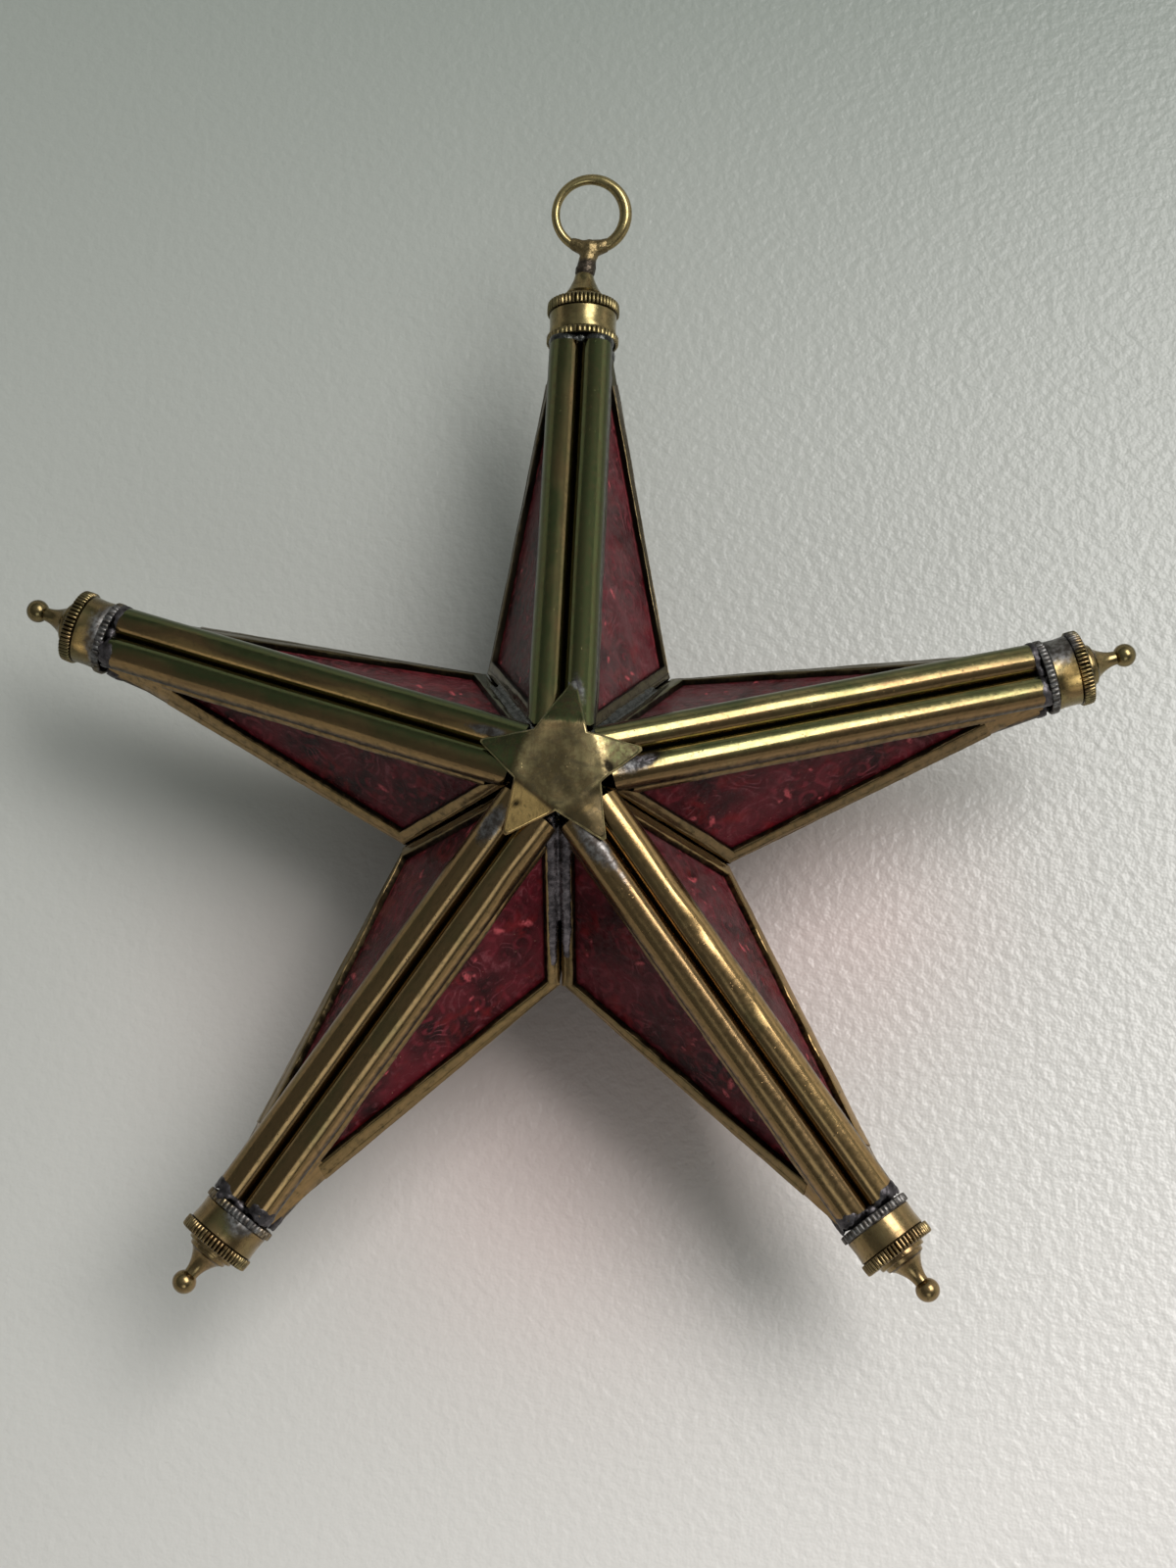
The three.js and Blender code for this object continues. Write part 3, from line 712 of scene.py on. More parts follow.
def solder_material(name, light, dark, rough):
    """Dull solder: cloudy, darker in its hollows, with stains and grime."""
    net = Finish(name)
    plain = net.scaled(1, 1, 1)
    cloud = net.noise(plain, 0.5, 4, 0.6)
    fine = net.noise(plain, 3.0, 4, 0.65)
    colour = net.over(
        net.mix(net.span(cloud, 0.38, 0.66), dark, light),
        (net.span(fine, 0.55, 0.72, 0.0, 0.75), tuple(c * 0.35 for c in dark)),
        (net.cover("warm", fine, 0.9, 0.3), SOLDER_STAIN),
        (net.cover("grime", fine, 0.8, 0.3), SOLDER_GRIME),
    )
    roughness = net.span(fine, 0.3, 0.7, rough - 0.14, rough + 0.18)
    height = net.plus(fine, net.times(cloud, 2.0))
    net.set(Base_Color=colour, Metallic=0.9, Roughness=roughness, Normal=net.bump(height, 0.5, 0.00012))
    return net.material


def glass_material(name):
    """Pressed ruby glass: dark and glossy, with paler red swirls that are partly painted highlights of the pressed
    relief.
    """
    net = Finish(name)
    plain = net.scaled(1, 1, 1)
    cloud = net.noise(plain, 0.13, 3, 0.5)
    fine = net.noise(plain, 2.2, 4, 0.65)
    flow = net.noise(plain, 0.11, 1.5, 0.5, 0.8)
    lines = net.math("SINE", net.times(flow, 66.0))
    where = net.span(net.noise(plain, 0.25, 3), 0.47, 0.68)
    swirl = net.times(net.span(lines, 0.3, 1.0), net.times(where, net.span(fine, 0.3, 0.6)))
    rosette = net.span(net.attribute("swirl"), 0.2, 1.0)
    threads = net.noise(net.scaled(1, 0.35, 1), 1.6, 3, 0.6, 2.5)
    ember = net.noise(plain, 0.16, 3, 0.6, 0.4)
    # Painted sheen: a grey reflection of the room, on the panes that face away from the window
    haze = net.times(net.attribute("haze"), net.span(net.noise(plain, 0.3, 4, 0.6), 0.30, 0.62))
    glint = net.times(net.span(net.attribute("glint"), 0.1, 0.8), net.span(fine, 0.32, 0.52))
    sparse = net.span(net.noise(plain, 0.9, 1), 0.60, 0.68)
    colour = net.over(
        net.mix(net.span(cloud, 0.36, 0.62), RUBY_DARK, RUBY_CLEAR),
        # Pale lines of the pressed pattern, partly painted highlights that its relief catches
        (net.times(swirl, 0.85), RUBY_SWIRL_HIGHLIGHT),
        (net.times(rosette, 0.6), RUBY_ROSETTE),
        (net.span(threads, 0.62, 0.72, 0.0, 0.5), RUBY_THREAD),
        (net.span(ember, 0.56, 0.68, 0.0, 0.6), RUBY_EMBER),
        (haze, RUBY_SHEEN),
        (net.times(glint, 0.85), RUBY_GLINT),
        # Painted shade along the pane's border, beside the rim strip and the valley strip
        (net.cover("grime", fine, 0.5, 0.3), RUBY_SHADE),
        (net.times(net.span(net.cells(plain, 1.1), 0.075, 0.045), sparse, True), DUST),
    )
    height = net.plus(
        net.times(fine, 0.2),
        net.noise(plain, 0.45, 2),
        net.times(threads, 0.4),
        net.times(net.times(lines, where), 0.05),
    )
    net.set(Base_Color=colour, Metallic=0.0, Roughness=net.span(fine, 0.3, 0.7, 0.12, 0.26), IOR=1.5,
            Specular_IOR_Level=0.13, Normal=net.bump(height, 0.6, 0.0004))
    return net.material


brass_tube = brass_material("brass_frame", GOLD, 0.165, 0.8)
brass_cap = brass_material("brass_turned", GOLD_TURNED, 0.23, 1.0)
brass_plate = brass_material("brass_sheet", GOLD_SHEET, 0.24, 0.5, 1.2)
solder_grey = solder_material("solder_dull", (0.155, 0.152, 0.165), (0.05, 0.048, 0.052), 0.34)
solder_cap = solder_material("solder_at_cap", (0.115, 0.104, 0.112), (0.030, 0.026, 0.028), 0.40)
solder_neck = solder_material("solder_at_ring", (0.085, 0.068, 0.050), (0.030, 0.022, 0.017), 0.30)
solder_dark = solder_material("solder_dark", (0.082, 0.082, 0.078), (0.026, 0.028, 0.026), 0.20)
solder_seam = solder_material("solder_seam", (0.185, 0.165, 0.180), (0.038, 0.033, 0.037), 0.20)
ruby = glass_material("ruby_glass")

# The frames


def facets():
    """Each facet on each face: itself, its arm's matrix, its name, 1 or -1 for the face, and a seed."""
    for k in range(len(ARMS)):
        for s in range(2):
            facet = Facet(k, s)
            for f, (face_name, face) in enumerate(FACES):
                yield facet, arm_matrix(k), f"{facet.name}_{face_name}", face, k * 4 + s * 2 + f


for facet, matrix, name, face, seed in facets():
    shells = frame_shells(facet, seed, face > 0)
    piece = make_object(f"came_{name}", mirrored(shells.points, facet.side, face), shells.faces, brass_tube, matrix)
    dirt, dull, side = np.array(shells.paint).T
    side = np.clip(side, 0, 1)
    (green, green_gap), (warm, warm_gap), aged = TONES[facet.name]
    paint(piece, "frame", green=green + (green_gap - green) * side, warm=warm + (warm_gap - warm) * side,
          aged=aged * 0.5 + dull, grime=dirt)
    settle(piece, "aged_brass", f"frame_{name}")

# Glass panes

# How deep the panes lie, and how thick they look
RECESS = 1.0
PANE = 0.7
PANE_ROWS, PANE_COLUMNS = 110, 34
# The pressed pattern: rosettes along and across a pane, their pitch across, and their ripples
ROSETTE_ROWS, ROSETTE_COLUMNS, ROSETTE_PITCH = 11, 3, 7.5
RIPPLE = 2.1
GLINTS = 26
# Painted sheen, a grey reflection of the room, on the panes that face away from the window's light
PAINTED_SHEEN = {"top_right": 0.55, "top_left": 0.3, "left_upper": 0.35, "lower_left_left": 0.25, "lower_right_right": 0.6,
        "right_upper": 0.75}
# Panes whose outer border lets red light through
RED_EDGES = ("top_right", "top_left", "left_upper", "lower_left_left", "lower_right_right")


def swirls(x, y, centres):
    """Relief of the pressed pattern: curled rosettes."""
    total = 0.0
    for cx, cy, turn, size, way in centres:
        dx, dy = x - cx, y - cy
        r = math.hypot(dx, dy)
        if r < size * 1.6:
            wave = math.cos(2 * math.pi * r / RIPPLE + way * math.atan2(dy, dx) + turn)
            total += wave * math.exp(-((r / size) ** 2) * 1.6)
    return total


def pane(facet, seed):
    """Points and faces of one pane, and what is painted on them: relief, painted glints and the painted shade of its
    border.
    """
    draw = random.Random(seed * 101 + 7)
    corner, tip, apex = facet.window(grown=0.3)
    low, high = min(apex[0], corner[0]), tip[0]
    centres, glints = [], []
    for i in range(ROSETTE_ROWS):
        for j in range(ROSETTE_COLUMNS):
            place = (low + (i + draw.random()) * (high - low) / ROSETTE_ROWS, (j + draw.random()) * ROSETTE_PITCH)
            centres.append((*place, draw.uniform(0, 6.3), draw.uniform(3.2, 6.0), draw.choice((-1, 1))))
    for n in range(GLINTS):
        x = low + (high - low) * draw.random() ** 1.5
        big = 1.45 if n % 5 == 0 else 0.7
        glints.append((x, draw.uniform(1, apex[1]), draw.uniform(0, math.pi), big * draw.uniform(0.7, 1.3),
                       big * draw.uniform(0.28, 0.42), draw.uniform(-0.25, 0.25)))
    wide = PANE_COLUMNS + 1
    top, heights, sparks, shades, flats = [], [], [], [], []
    for i in range(PANE_ROWS + 1):
        t = (i / PANE_ROWS) * 0.995
        a = corner + (tip - corner) * t
        b = apex + (tip - apex) * t
        for j in range(wide):
            p = a + (b - a) * j / PANE_COLUMNS
            h = swirls(p[0], p[1], centres) + 0.6 * wobble(p[0] * 0.4, p[1] * 0.4, seed * 3.3)
            spark = 0.0
            for gx, gy, turn, long, thin, curl in glints:
                u = (p[0] - gx) * math.cos(turn) + (p[1] - gy) * math.sin(turn)
                v = -(p[0] - gx) * math.sin(turn) + (p[1] - gy) * math.cos(turn) - curl * u * u
                spark = max(spark, 1 - (u / long) ** 2 - (v / thin) ** 2)
            border = j * np.linalg.norm(b - a) / PANE_COLUMNS
            if facet.name in RED_EDGES and wobble(p[0] * 0.6, seed * 1.7, 2.0) > -0.25:
                spark = max(spark, 0.36 * (1 - abs(border - 0.75) / 0.5))
            heights.append(h)
            sparks.append(spark)
            # Painted shade within about a millimetre of the rim strip and the valley strip
            shades.append(max(0.0, 0.9 - min(border, i * 0.5) / 1.3))
            flats.append(p)
            top.append(facet.place(p[0], p[1], -RECESS + 0.03 * h))
    faces = []
    for i in range(PANE_ROWS):
        for j in range(PANE_COLUMNS):
            a = i * wide + j
            faces.append((a, a + 1, a + wide + 1, a + wide))
    rim = list(range(wide))
    rim += [i * wide + PANE_COLUMNS for i in range(1, PANE_ROWS + 1)]
    rim += [PANE_ROWS * wide + j for j in range(PANE_COLUMNS - 1, -1, -1)]
    rim += [i * wide for i in range(PANE_ROWS - 1, 0, -1)]
    base = len(top)
    under = [facet.place(flats[i][0], flats[i][1], -RECESS - PANE) for i in rim]
    for n in range(len(rim)):
        m = (n + 1) % len(rim)
        faces.append((rim[n], base + n, base + m, rim[m]))
    faces.append(tuple(range(base, base + len(rim))))
    return top + under, faces, [values + [0.0] * len(rim) for values in (heights, sparks, shades)]


for facet, matrix, name, face, seed in facets():
    points, faces, (relief, sparks, shades) = pane(facet, seed)
    piece = make_object(f"pane_{name}", mirrored(points, facet.side, face), faces, ruby, matrix)
    # Each pane's share of painted sheen, a reflection of the room
    haze = [PAINTED_SHEEN.get(facet.name, 0.0)] * len(points)
    write_values(piece.data, swirl=relief, glint=sparks, grime=shades, haze=haze)
    settle(piece, "ruby_glass", f"glass_{name}")

# Turned caps

KNURL_SEGMENTS = 270
# Teeth of the knurls at the mouth and at the tip, and how deep they are cut
KNURLS = {1: (45, 0.32), 2: (54, 0.5)}
BORE = 5.6
BORE_DEPTH = 5.4
BAND = 5.82
KNURL = 6.25
BALL = 1.95
BALL_PLACE = 14.475
BALL_NECK = 1.05
# Turned grooves that hold grime, by distance from the mouth
GROOVES = ((1.3, 1.5), (5.38, 5.54), (7.45, 7.5), (8.2, 8.24), (8.96, 9.1))


def cap_profile(ball):
    """Rows of distance from the mouth, radius, which knurl, and how much of its depth."""
    rows = [
        (BORE_DEPTH, 0.0), (BORE_DEPTH, 2.8), (BORE_DEPTH, 5.2), (BORE_DEPTH - 0.3, BORE), (2.6, BORE),
        (0.25, BORE), (0.04, BORE + 0.06), (-0.02, BORE + 0.2),
        (0.0, KNURL - 0.25, 1, 0.6), (0.06, KNURL - 0.06, 1, 1), (0.16, KNURL, 1, 1), (0.7, KNURL + 0.02, 1, 1),
        (1.2, KNURL, 1, 1), (1.3, KNURL - 0.08, 1, 1),
        (1.33, BAND), (1.36, BAND - 0.1), (1.46, BAND - 0.08), (1.6, BAND + 0.02), (2.4, BAND - 0.04),
        (3.5, BAND - 0.07), (4.6, BAND - 0.02), (5.3, BAND + 0.04), (5.4, BAND - 0.08), (5.5, BAND - 0.1),
        (5.53, BAND),
        (5.56, KNURL - 0.06, 2, 1), (5.66, KNURL + 0.04, 2, 1), (6.5, KNURL + 0.06, 2, 1), (7.3, KNURL, 2, 1),
        (7.42, KNURL - 0.1, 2, 1), (7.5, KNURL - 0.3, 2, 0.8),
        (7.52, 5.5), (7.46, 4.6), (7.47, 4.3), (7.56, 4.14), (7.9, 4.1), (8.16, 4.04), (8.25, 3.86), (8.22, 3.62),
        (8.27, 3.48), (8.4, 3.42), (8.8, 3.36), (8.97, 3.2), (8.98, 3.02), (9.06, 2.84),
    ]
    narrow, spread, curve = (1.15, 1.65, 1.9) if ball else (1.65, 1.75, 1.35)
    rows += [(9.0 + 3.9 * i / 8, narrow + spread * (1 - i / 8) ** curve) for i in range(1, 9)]
    if ball:
        neck = math.asin(BALL_NECK / BALL)
        for i in range(13):
            angle = neck + (math.pi - neck) * i / 12
            rows.append((BALL_PLACE - BALL * math.cos(angle), max(0.0, BALL * math.sin(angle))))
    else:
        rows += [(13.5, 1.3), (13.7, 1.0), (13.75, 0.0)]
    return [(*row, 0, 0)[:4] for row in rows]


def rib(turn):
    """Height of a knurl rib across one pitch, 0 in the groove and 1 on top."""
    return min(1.0, max(0.0, (abs(math.sin(math.pi * turn)) - 0.25) * 2.2))


def cap_mesh(ball, seed):
    """A cap along +Y with its mouth at the origin, with the grime of its grooves."""
    points, faces, rings, dirt = [], [], [], []
    for y, radius, kind, share in cap_profile(ball):
        if radius < 1e-6:
            rings.append([len(points)])
            points.append((0.0, y, 0.0))
            dirt.append(0.6 if y < 6 else 0.0)
            continue
        ring = []
        groove = any(start < y < end for start, end in GROOVES)
        plain_dirt = 0.65 if groove else 0.75 if radius <= BORE and y < 6 else 0.0
        for j in range(KNURL_SEGMENTS):
            turn = j / KNURL_SEGMENTS
            real, low = radius, plain_dirt
            if kind:
                teeth, depth = KNURLS[kind]
                number = turn * teeth
                wear = 0.8 + 0.5 * wobble(math.floor(number + 0.5) * 1.3, seed * 9.1, kind * 3.3)
                cut = depth * wear * share * (1 - rib(number))
                real -= cut
                low = min(0.95, cut * 3.2)
            angle = 2 * math.pi * turn
            cx, cz = math.cos(angle), math.sin(angle)
            real *= 1 + 0.004 * wobble(cx * 1.4, cz * 1.4 + seed * 3.7, y * 0.35)
            ring.append(len(points))
            points.append((real * cx, y, real * cz))
            dirt.append(low)
        rings.append(ring)
    for a, b in zip(rings, rings[1:]):
        for j in range(KNURL_SEGMENTS):
            n = (j + 1) % KNURL_SEGMENTS
            if len(a) == 1:
                faces.append((a[0], b[n], b[j]))
            elif len(b) == 1:
                faces.append((a[j], a[n], b[0]))
            else:
                faces.append((a[j], a[n], b[n], b[j]))
    return points, faces, dirt


# Solder film on each cap's mouth knurl, and how far it runs up the band
CAP_FILM = {"top": (0.0, 1.0), "left": (0.55, 2.0), "lower_left": (0.45, 1.3), "lower_right": (1.0, 1.3),
            "right": (0.95, 1.3)}

for k, (name, *_) in enumerate(ARMS):
    points, faces, dirt = cap_mesh(name != "top", k * 3 + 1)
    film, reach = CAP_FILM[name]
    film = np.array([film * min(1.0, max(0.0, (reach + 0.3 - p[1]) / 0.3)) for p in points])
    points = [(x, y + arm_mouth(k), z) for x, y, z in points]
    cap = make_object(f"turned_cap_{name}", points, faces, brass_cap, arm_matrix(k), 40)
    green, warm, aged = CAP_TONES[name]
    paint(cap, "cap", green=green, warm=warm, aged=aged, grime=np.array(dirt), tin=film)
    settle(cap, "turned_brass", f"cap_{name}")

# Centre stars

STAR_LAYERS, STAR_EDGE_STEPS = 22, 14
BEND_ROUND = 0.2
# Green, coppery, dull and grimy shares of the front star's points, and how far past the bend they are full
POINT_TONES = ((1.6, 0.0, -0.1, 0.22, 0.2), (1.4, 0.0, -0.25, 0.05, 1.5), (-0.3, 2.1, -0.8, 0.0, 1.0),
               (0.0, 0.75, 0.55, 0.38, 2.4), (1.1, 0.0, 0.1, 0.56, 2.2))
# The top point leans out of the star
TOP_TIP_SHIFT = np.array((1.5, 1.3))


def point_way(k):
    """Direction of a point of the centre star, or of an inner corner at half a step."""
    turn = math.radians(90 + k * PITCH + PLATE_TURN)
    return np.array((math.cos(turn), math.sin(turn)))


def point_bend(k, seed):
    """How far from the middle a point is bent down."""
    return PLATE_BEND + {0: 1.6, 4: 1.4}.get(k, 0.4 * math.sin(k * 2.1 + seed))


def star_height(x, y, seed):
    """Height of the centre star's outer face above its flat middle."""
    height = 0.0
    for k in range(len(ARMS)):
        way = point_way(k)
        along = x * way[0] + y * way[1]
        across = -x * way[1] + y * way[0]
        bend = point_bend(k, seed)
        past = along - bend
        # The right point is bent gently on its upper side, and a little more
        ease = BEND_ROUND * (1 + 4.5 * min(1.0, max(0.0, (across + 0.6) / 2.6)) if k == 4 else 1)
        if past > -ease:
            rounded = (past + ease) ** 2 / (4 * ease) if past < ease else past
            slope = math.tan(ridge_slope(arm_mouth(k))) * (PLATE_TIP - PLATE_BEND) / (PLATE_TIP - bend)
            slope += 0.04 if k == 4 else 0.0
            height -= rounded * slope
            height += 0.03 * across * max(0.0, past) * math.sin(k * 1.9 + seed)
            height -= 0.02 * across * across * min(1.0, max(0.0, past))
    return height + 0.16 * wobble(x * 0.16, y * 0.16, seed) + 0.05 * wobble(x * 0.5, y * 0.5, seed)


def point_shares(points, seed):
    """What is painted past each point's bend: green, coppery, dull and grimy shares."""
    shares = np.zeros((len(points), 4))
    flat = np.array(points)[:, :2]
    for k, (*tones, reach) in enumerate(POINT_TONES):
        past = flat @ point_way(k) - point_bend(k, seed)
        shares += np.clip(past / reach, 0, 1)[:, None] * np.array(tones)
    return shares.T


def centre_star(seed):
    """Points and faces of a centre star, and where its rim is worn and painted bright as a highlight."""
    rim = []
    for k in range(len(ARMS)):
        corners = [point_way(k) * PLATE_TIP, point_way(k + 0.5) * PLATE_INNER, point_way(k + 1) * PLATE_TIP]
        for i, turn in ((0, k), (2, k + 1)):
            if turn % len(ARMS) == 0:
                corners[i] += TOP_TIP_SHIFT
        for start, end, tip in ((*corners[:2], corners[0]), (*corners[1:], corners[2])):
            for i in range(STAR_EDGE_STEPS):
                p = start + (end - start) * (i / STAR_EDGE_STEPS)
                # Tips are a little blunt, edges a little wavy
                blunt = max(0.0, 1 - np.linalg.norm(p - tip) / 1.2)
                rim.append(p * (1 + 0.012 * wobble(p[0] * 0.35, p[1] * 0.35, seed + 5) - 0.05 * blunt * blunt))
    count = len(rim)
    # The rim is worn round, and painted bright: partly wear, partly a painted highlight
    plain = STAR_LAYERS - 2
    layers = [0.08 + 0.862 * i / (plain - 1) for i in range(plain)] + [0.95, 0.974, 1.0]
    drops = [0.0] * (plain + 1) + [0.055, 0.15]
    rim_wear_and_highlight = [0.0] + [float(drop > 0) for drop in drops for _ in rim] + [1.0] * count
    outer = []
    for share, drop in zip(layers, drops):
        for x, y in (p * share for p in rim):
            outer.append((x, y, star_height(x, y, seed) - drop))
    middle = star_height(0, 0, seed)
    points = [(0, 0, middle)] + outer
    points += [(p[0] * 1.003, p[1] * 1.003, p[2] - 0.12) for p in outer[-count:]]
    base = len(points)
    points += [(p[0] * 0.99, p[1] * 0.99, p[2] - PLATE_THICKNESS) for p in outer]
    points.append((0, 0, middle - PLATE_THICKNESS))
    faces = [(0, 1 + j, 1 + (j + 1) % count) for j in range(count)]
    faces += loops_to_faces(1, STAR_LAYERS + 2, count)
    faces += [f[::-1] for f in loops_to_faces(base, STAR_LAYERS + 1, count)]
    edge_out, edge_in = 1 + (STAR_LAYERS + 1) * count, base + STAR_LAYERS * count
    for j in range(count):
        n = (j + 1) % count
        faces.append((edge_out + j, edge_out + n, edge_in + n, edge_in + j))
    faces += [(len(points) - 1, base + (j + 1) % count, base + j) for j in range(count)]
    return points, faces, np.array(rim_wear_and_highlight + [0.0] * (len(points) - len(rim_wear_and_highlight)))


for seed, (face_name, face) in zip((0.0, 3.0), FACES):
    points, faces, rim_wear_and_highlight = centre_star(seed)
    greens, coppers, dulls, dirts = point_shares(points, seed)
    points = [(x, y, (z + HALF_DEPTH) * face) for x, y, z in points]
    plate = make_object(f"sheet_star_{face_name}", points, faces, brass_plate, MIDDLE, 50)
    # Bare bright brass on the rim: partly wear, partly a painted highlight along its edge
    paint(plate, "plate", green=0.1 + greens - rim_wear_and_highlight, warm=0.3 + coppers - rim_wear_and_highlight, aged=0.45 + dulls - rim_wear_and_highlight,
          grime=dirts - rim_wear_and_highlight * 0.5)
    settle(plate, "aged_brass", f"centre_star_{face_name}")

# Solder, made of lumps run together


def lumps(name, balls, material, matrix, voxel, rough, seed, smooth=5):
    """One closed mesh from ellipsoids: centre, radii and perhaps the way of the first radius."""
    bm = bmesh.new()
    for ball in balls:
        centre, radii = Vector(ball[0]), ball[1]
        turn = Matrix.Identity(3)
        if len(ball) > 2:
            turn = Vector(ball[2]).to_track_quat("X", "Z").to_matrix()
        for v in bmesh.ops.create_icosphere(bm, subdivisions=3, radius=1.0)["verts"]:
            v.co = (centre + turn @ Vector([c * r for c, r in zip(v.co, radii)])) / METRE
    mesh = bpy.data.meshes.new(name)
    bm.to_mesh(mesh)
    bm.free()
    piece = add_object(name, mesh)
    remesh = piece.modifiers.new("remesh", "REMESH")
    remesh.mode = "VOXEL"
    remesh.voxel_size = voxel / METRE
    relax = piece.modifiers.new("relax", "SMOOTH")
    relax.factor = 0.6
    relax.iterations = smooth
    graph = bpy.context.evaluated_depsgraph_get()
    final = bpy.data.meshes.new_from_object(piece.evaluated_get(graph))
    piece.modifiers.clear()
    piece.data = final
    final.name = name
    normals = [v.normal.copy() for v in final.vertices]
    for v, normal in zip(final.vertices, normals):
        p = v.co * METRE
        lift = wobble(p.x * 0.8, p.y * 0.8, p.z * 0.8 + seed * 7)
        lift += 0.6 * wobble(p.x * 2.1, p.y * 2.1 + seed * 3, p.z * 2.1)
        v.co += normal * (lift * rough / METRE)
    final.materials.clear()
    final.materials.append(material)
    finish_mesh(piece, matrix)
    paint(piece)
    return piece


# How far solder runs up the tube ends of each arm, first and second side
CAP_SOLDER = {"top": (0.6, 0.8), "left": (1.4, 2.6), "lower_left": (2.4, 2.6), "lower_right": (2.8, 2.2),
              "right": (1.5, 1.0)}
# Bigger lumps at the mouths, front and back: arm, place in the arm's frame from the mouth, size
CAP_LUMPS = (
    ("lower_left", (3.4, 0.2, 5.3), 0.75), ("lower_left", (2.2, -0.5, 5.6), 0.6),
    ("lower_left", (4.7, -0.9, 4.3), 0.55), ("lower_left", (-3.5, -0.6, 5.0), 0.6),
    ("left", (-3.2, -0.2, 5.2), 0.7), ("left", (-2.2, 0.3, 5.4), 0.6), ("left", (-4.3, -0.3, 4.4), 0.6),
    ("lower_right", (-3.6, -0.6, 5.0), 0.6), ("right", (3.9, -0.4, 4.9), 0.5),
)

# Small lumps round each tube end: how many, where they begin and how far they go round it, in radians
TUBE_LUMPS, LUMPS_FROM, LUMPS_SPAN = 26, -0.7, 2.9

for k, (name, *_) in enumerate(ARMS):
    draw = random.Random(k + 50)
    mouth = arm_mouth(k)
    # A plug in the cap
    balls = [((0, mouth + 1.9, 0), (5.2, 0.7, 5.2))]
    for s in range(2):
        facet = Facet(k, s)
        for _, face in FACES:
            for n in range(TUBE_LUMPS):
                angle = LUMPS_FROM + LUMPS_SPAN * (n + draw.random()) / TUBE_LUMPS
                size = draw.uniform(0.65, 0.95)
                back = max(0.0, CAP_SOLDER[name][s] - size) * draw.uniform(0.0, 1.0) + size
                centre = facet.tube_end - facet.along * back
                way = (math.cos(angle) * facet.side, 0.0, math.sin(angle) * face)
                reach = TUBE_RADIUS - 0.02
                place = (centre[0] * facet.side + reach * way[0], centre[1], centre[2] * face + reach * way[2])
                balls.append((place, (draw.uniform(0.16, 0.3), size, size), way))
            balls.append(((2.75 * facet.side, mouth - 1.0, 2.75 * face), (2.4, 0.9, 2.4)))
    for _, face in FACES:
        balls.append(((0.0, mouth - 0.4, 4.2 * face), (1.2, 1.0, 0.9)))
        balls += [((x, mouth + y, z * face), (size, size * 0.9, size * 0.7))
                  for arm, (x, y, z), size in CAP_LUMPS if arm == name]
    piece = lumps(f"solder_lumps_{name}", balls, solder_dark if name == "top" else solder_cap, arm_matrix(k), 0.2,
                  0.08, k, 4)
    settle(piece, "solder", f"solder_cap_{name}")

# Solder along the valleys, two beads side by side: radius, half their distance, material, and height
VALLEYS = {
    "top_left": (0.95, 0.9, solder_dark, 0.45),
    "bottom": (1.12, 1.2, solder_seam, 0.95),
    "top_right": (0.7, 0.7, solder_dark, 0.3),
}
SEAM_START = 7.6
SEAM_SETBACK = 3.0
SEAM_STEPS = 46

for i, (name, _, share) in enumerate(CORNERS):
    if name not in VALLEYS:
        continue
    radius, apart, material, lift = VALLEYS[name]
    reach = CORNER_REACH * share
    heights = []
    for k, s in ((i, 1), ((i + 1) % len(ARMS), 0)):
        facet = Facet(k, s)
        heights.append(facet.outward @ facet.inner / facet.outward[2])
    top = min(heights)
    turn = math.radians(corner_angle(i))
    way = Vector((math.cos(turn), math.sin(turn), 0))
    side = Vector((-way.y, way.x, 0))
    for face_name, face in FACES:
        draw = random.Random(i * 7 + (face > 0))
        balls = []
        for bead in range(2):
            offset = (bead * 2 - 1) * apart
            end = reach - SEAM_SETBACK - bead * 1.2
            for n in range(SEAM_STEPS + 1):
                r = SEAM_START + bead + (end - SEAM_START - bead) * n / SEAM_STEPS
                size = radius * draw.uniform(0.95, 1.05) * (1 - 0.3 * (n / SEAM_STEPS) ** 4)
                place = way * r + side * (offset + 0.12 * wobble(r * 0.4, bead * 5.0, i))
                height = top * (1 - r / reach) + lift
                painted_light = (way.x, way.y, -top / reach * face)
                balls.append(((place.x, place.y, height * face), (size * 1.2, size, size * 0.85), painted_light))
        piece = lumps(f"valley_bead_{name}_{face_name}", balls, material, MIDDLE, 0.22, 0.07, i, 12)
        settle(piece, "solder", f"solder_valley_{name}_{face_name}")

# Smears of solder round the front centre star, each with smaller ones about it: place, radii, way
SMEARS = (
    ((1.9, 13.9, 58.1), (1.6, 0.45, 0.2), (0.1, -1.0, 0.35)),
    ((6.4, -11.4, 58.1), (2.2, 0.9, 0.22), (0.6, -0.74, -0.4)),
    ((12.4, 1.9, 58.0), (2.4, 0.9, 0.4), (0.85, 0.45, -0.3)),
    ((9.6, 0.0, 59.0), (1.6, 0.8, 0.35), (0.7, 0.6, -0.3)),
)
for n, smear in enumerate(SMEARS):
    place, radii, way = smear
    balls = [smear]
    draw = random.Random(n + 11)
    for _ in range(5):
        shift = [draw.uniform(-1, 1) * r * 0.8 for r in radii]
        spot = tuple(a + b for a, b in zip(place, shift))
        balls.append((spot, tuple(r * draw.uniform(0.35, 0.6) for r in radii), way))
    piece = lumps(f"solder_smear_{n}", balls, solder_cap if n > 1 else solder_grey, Matrix.Identity(4), 0.18, 0.1, n)
    settle(piece, "solder")

# Ring and its neck

# How far from the cap's mouth the neck begins, its solder turns brown, and the ring's wire is lowest
NECK_START, NECK_BROWN, RING_START = 13.0, 15.0, 18.1
RING_ROWS, RING_SIDES = 120, 20
RING_RADIUS = 6.15
RING_TILT = math.radians(12)
